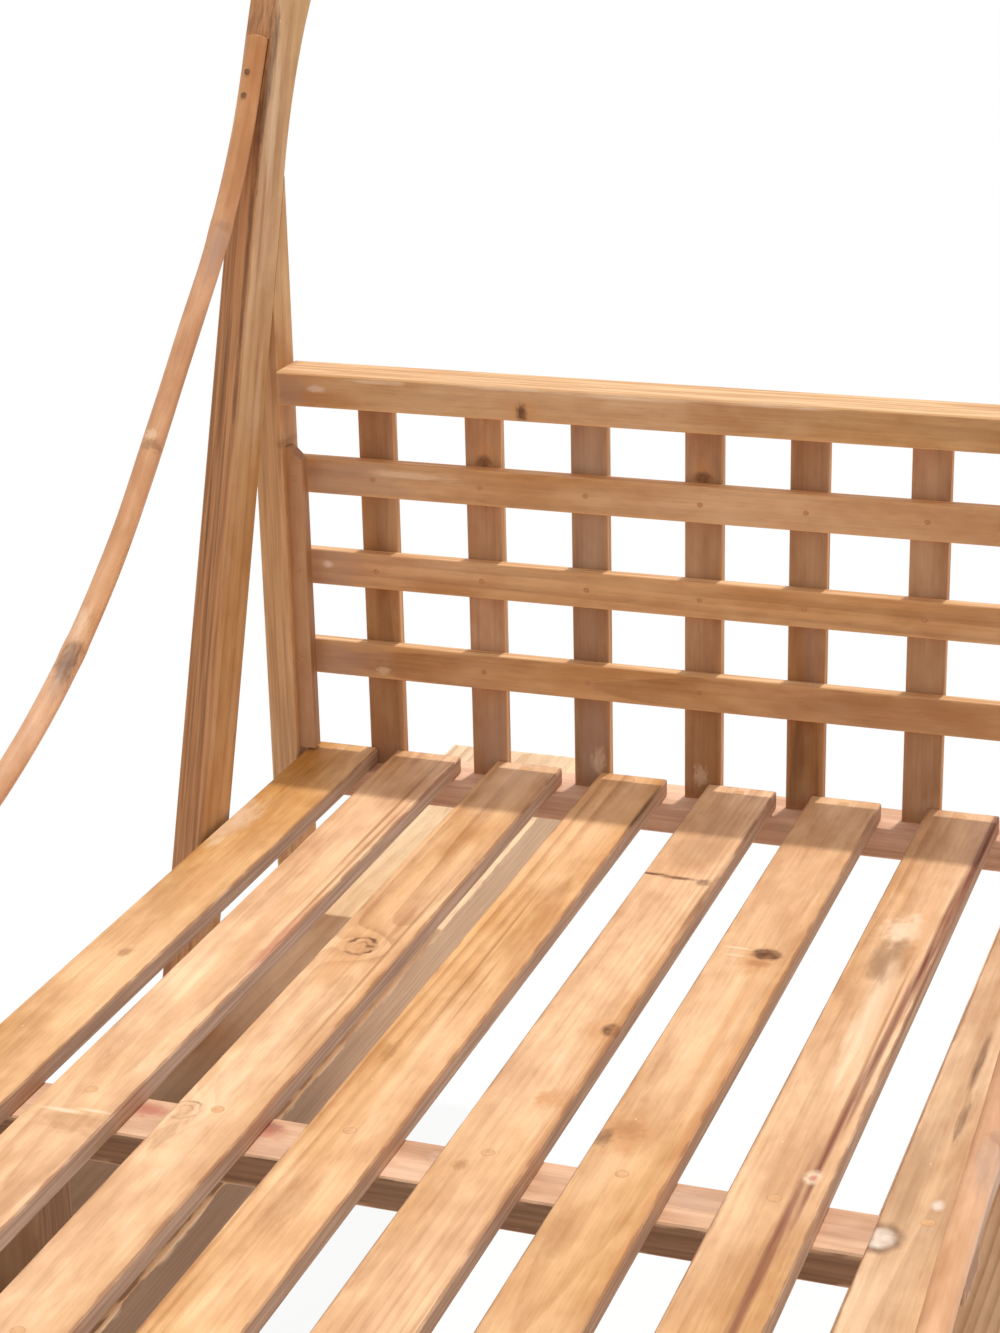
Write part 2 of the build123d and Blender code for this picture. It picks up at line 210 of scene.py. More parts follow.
def grainNoise(tree, vector, stretch, detail=2.0, shift=(0, 0, 0)):
    step = tree.nodes.new("ShaderNodeTexNoise")
    plug(tree, vectorCalc(tree, "MULTIPLY_ADD", vector, stretch, shift), step.inputs["Vector"])
    step.inputs["Scale"].default_value = 1.0
    step.inputs["Detail"].default_value = detail
    return step.outputs[0]


def split(tree, vector):
    step = tree.nodes.new("ShaderNodeSeparateXYZ")
    plug(tree, vector, step.inputs[0])
    return step.outputs


def blendColour(tree, factor, first, second, mode="MIX"):
    step = tree.nodes.new("ShaderNodeMix")
    step.data_type = "RGBA"
    step.blend_type = mode
    plug(tree, factor, step.inputs[0])
    plug(tree, first, step.inputs[6])
    plug(tree, second, step.inputs[7])
    return step.outputs[2]


def tint(red, green, blue):
    linear = [c / 255 / 12.92 if c <= 10 else ((c / 255 + 0.055) / 1.055) ** 2.4 for c in (red, green, blue)]
    return (*linear, 1.0)


def newGroup(name, takes, gives):
    group = bpy.data.node_groups.new(name, "ShaderNodeTree")
    for way, sockets in (("INPUT", takes), ("OUTPUT", gives)):
        for socket, kind in sockets.items():
            group.interface.new_socket(socket, in_out=way, socket_type="NodeSocket" + kind)
    return group, group.nodes.new("NodeGroupInput").outputs, group.nodes.new("NodeGroupOutput").inputs


def useGroup(tree, group, **given):
    step = tree.nodes.new("ShaderNodeGroup")
    step.node_tree = group
    for name, value in given.items():
        plug(tree, value, step.inputs[name])
    return step.outputs


def seedShift(tree, seed):
    step = tree.nodes.new("ShaderNodeCombineXYZ")
    for socket, factor in zip(step.inputs, (7.13, 3.71, 5.37)):
        plug(tree, calc(tree, "MULTIPLY", seed, factor), socket)
    return step.outputs[0]


figureSet = {  # noises by how often they repeat in a metre, along the grain and across it, and their shares
    "broad": (2.0, 15, 15),
    "middle": (6, 60, 60),
    "strength": (1.2, 8, 8),
    "fibre": (12, 520, 520),
    "streak": (4.5, 80, 80),
    "fleck": (75, 430, 430),
    "tone": (3.5, 11, 11),
    "mottle": (38, 85, 85),
    "patch": (10, 28, 28),
    "base": -0.2,
    "fibreShare": 0.42,
    "streakShare": 0.5,
    "fleckShare": 0.1,
    "mottleShare": 0.35,
    "patchShare": 0.65,
}


# growth rings, fibres and tone of a board whose X runs along the grain, in metres
def makeFigureGroup(look):
    takes = {"Vector": "Vector", "Seed": "Float", "Heart": "Vector", "Tilt": "Float",
             "RingStep": "Float", "RingShare": "Float", "Waver": "Float", "Pull": "Float"}
    gives = {"Figure": "Float", "Tone": "Float", "Patch": "Float", "Fibre": "Float", "Height": "Float"}
    tree, given, result = newGroup("woodFigure", takes, gives)
    vector = given["Vector"]
    shift = seedShift(tree, given["Seed"])
    broad = calc(tree, "SUBTRACT", grainNoise(tree, vector, look["broad"], 2, shift), 0.5)
    middle = calc(tree, "SUBTRACT", grainNoise(tree, vector, look["middle"], 2, shift), 0.5)
    along, across, depth = split(tree, vectorCalc(tree, "ADD", vector, given["Heart"]))
    depth = calc(tree, "MULTIPLY_ADD", along, given["Tilt"], depth)
    square = calc(tree, "MULTIPLY_ADD", across, across, calc(tree, "MULTIPLY", depth, depth))
    radius = calc(tree, "SQRT", square)
    sway = calc(tree, "MULTIPLY", calc(tree, "MULTIPLY_ADD", middle, 0.2, broad), given["Waver"])
    radius = calc(tree, "ADD", calc(tree, "ADD", radius, sway), given["Pull"])
    ring = calc(tree, "FRACT", calc(tree, "DIVIDE", radius, given["RingStep"]))
    late = calc(tree, "MULTIPLY", softStep(tree, ring, 0.3, 0.9), softStep(tree, ring, 0.92, 1.0, 1, 0))
    strong = softStep(tree, grainNoise(tree, vector, look["strength"], 1, shift), 0.35, 0.65, 0.2, 1.0)
    rings = calc(tree, "MULTIPLY", late, strong)
    fibre = grainNoise(tree, vector, look["fibre"], 3, shift)
    streak = grainNoise(tree, vector, look["streak"], 3, shift)
    figure = calc(tree, "MULTIPLY_ADD", rings, given["RingShare"], look["base"])
    figure = calc(tree, "MULTIPLY_ADD", fibre, look["fibreShare"], figure)
    figure = calc(tree, "MULTIPLY_ADD", streak, look["streakShare"], figure)
    fleck = softStep(tree, grainNoise(tree, vector, look["fleck"], 2, shift), 0.52, 0.74)
    figure = calc(tree, "MULTIPLY_ADD", fleck, look["fleckShare"], figure)
    plug(tree, calc(tree, "MINIMUM", calc(tree, "MAXIMUM", figure, 0), 1), result["Figure"])
    plug(tree, grainNoise(tree, vector, look["tone"], 2, shift), result["Tone"])
    mottle = grainNoise(tree, vector, look["mottle"], 2, shift)
    patch = calc(tree, "MULTIPLY", grainNoise(tree, vector, look["patch"], 3, shift), look["patchShare"])
    plug(tree, calc(tree, "MULTIPLY_ADD", mottle, look["mottleShare"], patch), result["Patch"])
    plug(tree, fibre, result["Fibre"])
    plug(tree, calc(tree, "MULTIPLY_ADD", rings, 0.5, fibre), result["Height"])
    return tree


# one knot: an oval with a broken dark rim that pushes the rings aside
def makeKnotGroup():
    takes = {"Vector": "Vector", "Centre": "Vector", "Radius": "Float"}
    tree, given, result = newGroup("knot", takes, {"Body": "Float", "Rim": "Float", "Pull": "Float"})
    offset = vectorCalc(tree, "SUBTRACT", given["Vector"], given["Centre"])
    ragged = calc(tree, "SUBTRACT", grainNoise(tree, given["Vector"], (150, 190, 190), 3), 0.5)
    flat = vectorCalc(tree, "MULTIPLY", offset, (0.85, 1.0, 0.25))
    reach = calc(tree, "DIVIDE", vectorCalc(tree, "LENGTH", flat), given["Radius"])
    pushed = calc(tree, "MULTIPLY_ADD", ragged, 0.55, reach)
    plug(tree, softStep(tree, pushed, 0.45, 1.0, 1, 0), result["Body"])
    rim = calc(tree, "MULTIPLY", softStep(tree, pushed, 0.72, 0.86), softStep(tree, pushed, 0.88, 1.08, 1, 0))
    inside = softStep(tree, pushed, 0.42, 0.55, 0.45, 0)
    inner = calc(tree, "MULTIPLY", softStep(tree, pushed, 0.3, 0.4), inside)
    broken = softStep(tree, grainNoise(tree, offset, (85, 85, 85), 1, (2, 5, 1)), 0.38, 0.62, 0.15, 1)
    plug(tree, calc(tree, "MULTIPLY", calc(tree, "MAXIMUM", rim, inner), broken), result["Rim"])
    fall = calc(tree, "POWER", 2.718, calc(tree, "MULTIPLY", calc(tree, "MULTIPLY", reach, reach), -0.3))
    plug(tree, calc(tree, "MULTIPLY", fall, calc(tree, "MULTIPLY", given["Radius"], 1.3)), result["Pull"])
    return tree


# a stain, smear, scratch, filled hole or patch of painted shade with a ragged outline
def makeStainAndShadeGroup():
    takes = {"Vector": "Vector", "Centre": "Vector", "Reach": "Vector", "Ragged": "Float", "Core": "Float"}
    tree, given, result = newGroup("stainAndShade", takes, {"Mask": "Float"})
    offset = vectorCalc(tree, "SUBTRACT", given["Vector"], given["Centre"])
    offset = vectorCalc(tree, "DIVIDE", offset, given["Reach"])
    shift = vectorCalc(tree, "MULTIPLY", given["Centre"], (370, 370, 370))
    rough = calc(tree, "SUBTRACT", grainNoise(tree, offset, (2.6, 2.6, 2.6), 4, shift), 0.5)
    reach = calc(tree, "MULTIPLY_ADD", rough, given["Ragged"], vectorCalc(tree, "LENGTH", offset))
    cloud = softStep(tree, grainNoise(tree, offset, (1.8, 1.8, 1.8), 3, shift), 0.3, 0.7, 0.65, 1)
    body = softStep(tree, reach, given["Core"], 1.05, 1, 0)
    plug(tree, calc(tree, "MULTIPLY", body, cloud), result["Mask"])
    return tree


# a mask along the board's arrises, from the distance to its own edges: rubbed wear on most boards, a painted
# highlight on the planks' arrises, a dark line on the seat slats
def makeWearAndHighlightGroup():
    takes = {"Vector": "Vector", "Half": "Vector", "Width": "Float", "Seed": "Float"}
    tree, given, result = newGroup("edgeWearAndHighlight", takes, {"Mask": "Float"})
    room = vectorCalc(tree, "SUBTRACT", given["Half"], vectorCalc(tree, "ABSOLUTE", given["Vector"]))
    a, b, c = split(tree, room)
    low, high = calc(tree, "MINIMUM", a, b), calc(tree, "MAXIMUM", a, b)
    second = calc(tree, "MAXIMUM", low, calc(tree, "MINIMUM", high, c))
    rough = grainNoise(tree, given["Vector"], (35, 160, 160), 3, seedShift(tree, given["Seed"]))
    width = calc(tree, "MULTIPLY", given["Width"], softStep(tree, rough, 0.35, 0.7, 0.25, 1.6))
    plug(tree, softStep(tree, calc(tree, "DIVIDE", second, width), 0.2, 1.0, 1, 0), result["Mask"])
    return tree


# sparse droplets and dust
def makeSpeckGroup():
    takes = {"Vector": "Vector", "Cell": "Float", "Size": "Float", "Share": "Float"}
    tree, given, result = newGroup("specks", takes, {"Mask": "Float"})
    cells = tree.nodes.new("ShaderNodeTexVoronoi")
    plug(tree, given["Vector"], cells.inputs["Vector"])
    plug(tree, calc(tree, "DIVIDE", 1.0, given["Cell"]), cells.inputs["Scale"])
    luck = split(tree, cells.outputs["Color"])
    size = calc(tree, "MULTIPLY", calc(tree, "DIVIDE", given["Size"], given["Cell"]), luck[1])
    dot = calc(tree, "LESS_THAN", cells.outputs["Distance"], size)
    plug(tree, calc(tree, "MULTIPLY", dot, calc(tree, "LESS_THAN", luck[0], given["Share"])), result["Mask"])
    return tree


figureGroup = makeFigureGroup(figureSet)
knotGroup = makeKnotGroup()
stainAndShadeGroup = makeStainAndShadeGroup()
wearAndHighlightGroup = makeWearAndHighlightGroup()
speckGroup = makeSpeckGroup()
print("shader groups ready")


# wood finishes

woodLooks = {
    "seat": {
        "light": tint(248, 199, 147), "dark": tint(164, 105, 60),
        "side": tint(202, 166, 142), "sideDark": tint(168, 132, 108), "sideShare": 0.85,
        "ringStep": 0.0052, "ringShare": 0.4, "waver": 0.014,
        "rough": 0.62, "bump": 0.14, "patch": 0.18,
        # edge: the seat slats' arrises blend to this dark brown, darker along every arris
        "edge": tint(150, 98, 62), "edgeWidth": 0.002,
    },
    "rail": {
        "light": tint(236, 193, 160), "dark": tint(164, 116, 88),
        "side": tint(176, 130, 102), "sideDark": tint(146, 104, 78), "sideShare": 0.5,
        "ringStep": 0.0048, "ringShare": 0.4, "waver": 0.009,
        "rough": 0.74, "bump": 0.18, "patch": 0.16,
    },
    "middleRail": {
        "light": tint(244, 198, 158), "dark": tint(178, 128, 96),
        "side": tint(142, 104, 74), "sideDark": tint(116, 82, 56), "sideShare": 0.9,
        "ringStep": 0.0048, "ringShare": 0.35, "waver": 0.009,
        "rough": 0.74, "bump": 0.18, "patch": 0.18,
    },
    "lattice": {
        "light": tint(225, 171, 116), "dark": tint(146, 97, 57),
        "side": tint(250, 208, 158), "sideDark": tint(206, 150, 98), "sideShare": 0.75,
        "ringStep": 0.0042, "ringShare": 0.3, "waver": 0.01,
        "rough": 0.66, "bump": 0.16, "patch": 0.13,
    },
    "upright": {
        "light": tint(194, 144, 100), "dark": tint(128, 86, 54),
        "side": tint(236, 186, 134), "sideDark": tint(180, 126, 82), "sideShare": 0.85,
        "ringStep": 0.004, "ringShare": 0.26, "waver": 0.01,
        "rough": 0.74, "bump": 0.2, "patch": 0.16,
    },
    "post": {
        "light": tint(222, 174, 122), "dark": tint(156, 108, 66),
        "side": tint(196, 138, 92), "sideDark": tint(154, 103, 65), "sideShare": 0.92,
        "ringStep": 0.0058, "ringShare": 0.2, "waver": 0.018,
        "rough": 0.66, "bump": 0.22, "patch": 0.16,
    },
    "backPost": {
        "light": tint(226, 178, 128), "dark": tint(162, 114, 72),
        "side": tint(214, 164, 116), "sideDark": tint(182, 132, 88), "sideShare": 0.8,
        "ringStep": 0.0058, "ringShare": 0.15, "waver": 0.018,
        "rough": 0.68, "bump": 0.2, "patch": 0.18,
    },
    "cleat": {
        "light": tint(200, 148, 100), "dark": tint(146, 98, 60),
        "side": tint(184, 136, 98), "sideDark": tint(148, 104, 70), "sideShare": 0.8,
        "ringStep": 0.005, "ringShare": 0.2, "waver": 0.012,
        "rough": 0.7, "bump": 0.2, "patch": 0.15,
    },
    # leg: a darker, browner copy of the wood, painted shade for legs that stand under the seat
    "leg": {
        "light": tint(176, 138, 104), "dark": tint(126, 92, 64),
        "side": tint(160, 122, 90), "sideDark": tint(128, 94, 66), "sideShare": 0.8,
        "ringStep": 0.006, "ringShare": 0.15, "waver": 0.01,
        "rough": 0.78, "bump": 0.2, "patch": 0.16,
    },
    "plank": {
        "light": tint(250, 216, 174), "dark": tint(186, 142, 102),
        # side: raised as painted light, for sun falling on the planks' side faces
        "side": tint(224, 187, 153), "sideDark": tint(204, 165, 131), "sideShare": 0.9,
        "ringStep": 0.0065, "ringShare": 0.45, "waver": 0.016,
        "rough": 0.76, "bump": 0.16, "patch": 0.1,
        # a wide pale arris on the planks, painted highlight
        "edgeWidth": 0.0045,
    },
    "rod": {
        "light": tint(234, 178, 132), "dark": tint(180, 122, 82),
        "side": tint(194, 138, 98), "sideDark": tint(150, 100, 66), "sideShare": 0.0,
        "ringStep": 0.009, "ringShare": 0.12, "waver": 0.008,
        "rough": 0.55, "bump": 0.14, "patch": 0.2,
    },
}
markColours = {
    "barkAndShadow": tint(96, 56, 28),
    "dark": tint(98, 64, 40),
    "brown": tint(164, 108, 62),
    "orange": tint(208, 146, 92),
    "red": tint(116, 52, 36),
    "pink": tint(196, 116, 98),
    "grey": tint(172, 132, 96),
    "mauve": tint(176, 142, 124),
    "pale": tint(250, 220, 186),
    "filler": tint(238, 216, 196),
}
finishSet = {  # what all the wood has in common
    "value": (1.07, 0.9), "saturation": (0.92, 1.11), "warmth": (0.94, 1.05), "hue": (0.503, 0.495),
    "patchSpan": (0.33, 0.67), "patchLift": 0.6, "edgeWidth": 0.0028, "markDepth": 0.005,
    "dustCell": 0.016, "dustSize": 0.0012, "dustShare": 0.2, "dustStrength": 0.5,
    "smoother": 0.07, "rougher": 0.09, "specular": 0.32, "bumpDepth": 0.0012,
}
boardTones = {  # value and saturation of single boards
    "seat_slat_1": (0.9, 1.14), "seat_slat_2": (1.05, 1.0), "seat_slat_3": (1.04, 1.0),
    "seat_slat_4": (1.02, 1.08), "seat_slat_5": (1.04, 1.0), "seat_slat_6": (0.97, 1.05),
    "seat_slat_7": (1.0, 1.0), "seat_slat_8": (0.92, 0.97), "back_seat_rail": (1.18, 1.02),
    "lattice_rail_1": (1.04, 1.0), "lattice_rail_2": (1.06, 1.0), "lattice_rail_3": (1.02, 1.0),
    "lattice_upright_2": (1.12, 0.98), "lattice_upright_3": (0.9, 0.94),
    "lattice_upright_5": (0.94, 1.02), "top_rail": (0.96, 1.01),
}


def boardTurn(grain, face):
    grain, face = Vector(grain).normalized(), Vector(face).normalized()
    return Matrix((grain, face.cross(grain), face)).transposed()


def woodMaterial(name, look, seed, centre, turn, half=None, marks=(), attribute=None, tone=(1, 1), arrisWearAndHighlight=0.45):
    material = bpy.data.materials.new(name)
    material.use_nodes = True
    tree = material.node_tree
    shader = tree.nodes["Principled BSDF"]
    coords = tree.nodes.new("ShaderNodeTexCoord").outputs
    if attribute:
        own = tree.nodes.new("ShaderNodeAttribute")
        own.attribute_name = attribute
        local = own.outputs["Vector"]
    else:
        place = tree.nodes.new("ShaderNodeMapping")
        place.vector_type = "TEXTURE"
        place.inputs["Location"].default_value = centre
        place.inputs["Rotation"].default_value = turn.to_euler()
        tree.links.new(coords["Object"], place.inputs["Vector"])
        local = place.outputs[0]
    dice = random.Random(seed)
    heart = (dice.uniform(-0.2, 0.2), dice.uniform(-0.025, 0.025),
             dice.choice((-1, 1)) * dice.uniform(0.02, 0.07))
    knots = []
    pull = 0.0
    for mark in marks:
        if mark["kind"] == "knot":
            spot = useGroup(tree, knotGroup, Vector=local, Centre=mark["at"], Radius=mark["size"])
            knots.append((spot, mark))
            pull = calc(tree, "ADD", pull, spot["Pull"])
    figure = useGroup(tree, figureGroup, Vector=local, Seed=float(seed), Heart=heart, Pull=pull,
                      Tilt=dice.uniform(-0.03, 0.03), RingStep=look["ringStep"] * dice.uniform(0.85, 1.2),
                      RingShare=look["ringShare"], Waver=look["waver"])
    colour = blendColour(tree, figure["Figure"], look["light"], look["dark"])
    shade = tree.nodes.new("ShaderNodeHueSaturation")
    value = softStep(tree, figure["Tone"], 0.25, 0.75, *(tone[0] * end for end in finishSet["value"]))
    span = finishSet["patchSpan"]
    bright = 1 + finishSet["patchLift"] * look["patch"]
    patch = softStep(tree, figure["Patch"], *span, bright, 1 - look["patch"])
    plug(tree, calc(tree, "MULTIPLY", value, patch), shade.inputs["Value"])
    plug(tree, softStep(tree, figure["Patch"], *span, *finishSet["hue"]), shade.inputs["Hue"])
    depth = softStep(tree, figure["Tone"], 0.3, 0.8, *(tone[1] * end for end in finishSet["saturation"]))
    # dark blotches are the warmer ones
    warmth = softStep(tree, figure["Patch"], *span, *finishSet["warmth"])
    plug(tree, calc(tree, "MULTIPLY", depth, warmth), shade.inputs["Saturation"])
    plug(tree, colour, shade.inputs["Color"])
    colour = shade.outputs[0]
    if not attribute:
        facing = vectorCalc(tree, "DOT_PRODUCT", coords["Normal"], tuple(turn.col[2]))
        sawn = softStep(tree, calc(tree, "ABSOLUTE", facing), 0.6, 0.85, look["sideShare"], 0)
        coarse = softStep(tree, figure["Fibre"], 0.32, 0.68)
        colour = blendColour(tree, sawn, colour, blendColour(tree, coarse, look["side"], look["sideDark"]))
        facing = vectorCalc(tree, "DOT_PRODUCT", coords["Normal"], tuple(turn.col[0]))
        ends = softStep(tree, calc(tree, "ABSOLUTE", facing), 0.6, 0.9, 0, 0.5)
        colour = blendColour(tree, ends, colour, look["dark"])
    for mark in marks:
        if mark["kind"] != "knot":
            mask = useGroup(tree, stainAndShadeGroup, Vector=local, Centre=mark["at"], Reach=mark["reach"],
                            Ragged=mark["ragged"], Core=mark["core"])
            mask = calc(tree, "MULTIPLY", mask["Mask"], mark["strength"])
            colour = blendColour(tree, mask, colour, markColours[mark["kind"]])
    for spot, mark in knots:
        body = calc(tree, "MULTIPLY", spot["Body"], mark["body"])
        colour = blendColour(tree, body, colour, markColours["brown"])
        rim = calc(tree, "MULTIPLY", spot["Rim"], mark["rim"])
        colour = blendColour(tree, rim, colour, markColours["barkAndShadow"])
    # arrises blend to the light colour as rubbed wear, to a strong pale line on the planks as painted highlight,
    # and to the seat's dark edge colour
    if half:
        wearAndHighlightMask = useGroup(tree, wearAndHighlightGroup, Vector=local, Half=half, Seed=float(seed),
                          Width=look.get("edgeWidth", finishSet["edgeWidth"]))
        wearAndHighlightMask = calc(tree, "MULTIPLY", wearAndHighlightMask["Mask"], arrisWearAndHighlight)
        colour = blendColour(tree, wearAndHighlightMask, colour, look.get("edge", look["light"]))
    dust = useGroup(tree, speckGroup, Vector=local, Cell=finishSet["dustCell"],
                    Size=finishSet["dustSize"], Share=finishSet["dustShare"])
    dust = calc(tree, "MULTIPLY", dust["Mask"], finishSet["dustStrength"])
    colour = blendColour(tree, dust, colour, markColours["pale"])
    plug(tree, colour, shader.inputs["Base Color"])
    smooth, rough = look["rough"] - finishSet["smoother"], look["rough"] + finishSet["rougher"]
    plug(tree, softStep(tree, figure["Figure"], 0.0, 1.0, smooth, rough), shader.inputs["Roughness"])
    shader.inputs["Specular IOR Level"].default_value = finishSet["specular"]
    bump = tree.nodes.new("ShaderNodeBump")
    bump.inputs["Strength"].default_value = look["bump"]
    bump.inputs["Distance"].default_value = finishSet["bumpDepth"]
    plug(tree, figure["Height"], bump.inputs["Height"])
    tree.links.new(bump.outputs[0], shader.inputs["Normal"])
    return material


def dress(node, material):
    mesh = nodes[node].data
    mesh.materials.clear()
    mesh.materials.append(material)


# a mark on a board: a real stain, or a patch of painted shade
def stainAndShade(kind, at, reach, strength=0.6, ragged=1.0, core=0.3):
    return {"kind": kind, "at": at, "reach": reach, "strength": strength, "ragged": ragged, "core": core}


def knot(at, size, body=0.2, rim=0.85):
    return {"kind": "knot", "at": at, "size": size, "body": body, "rim": rim}


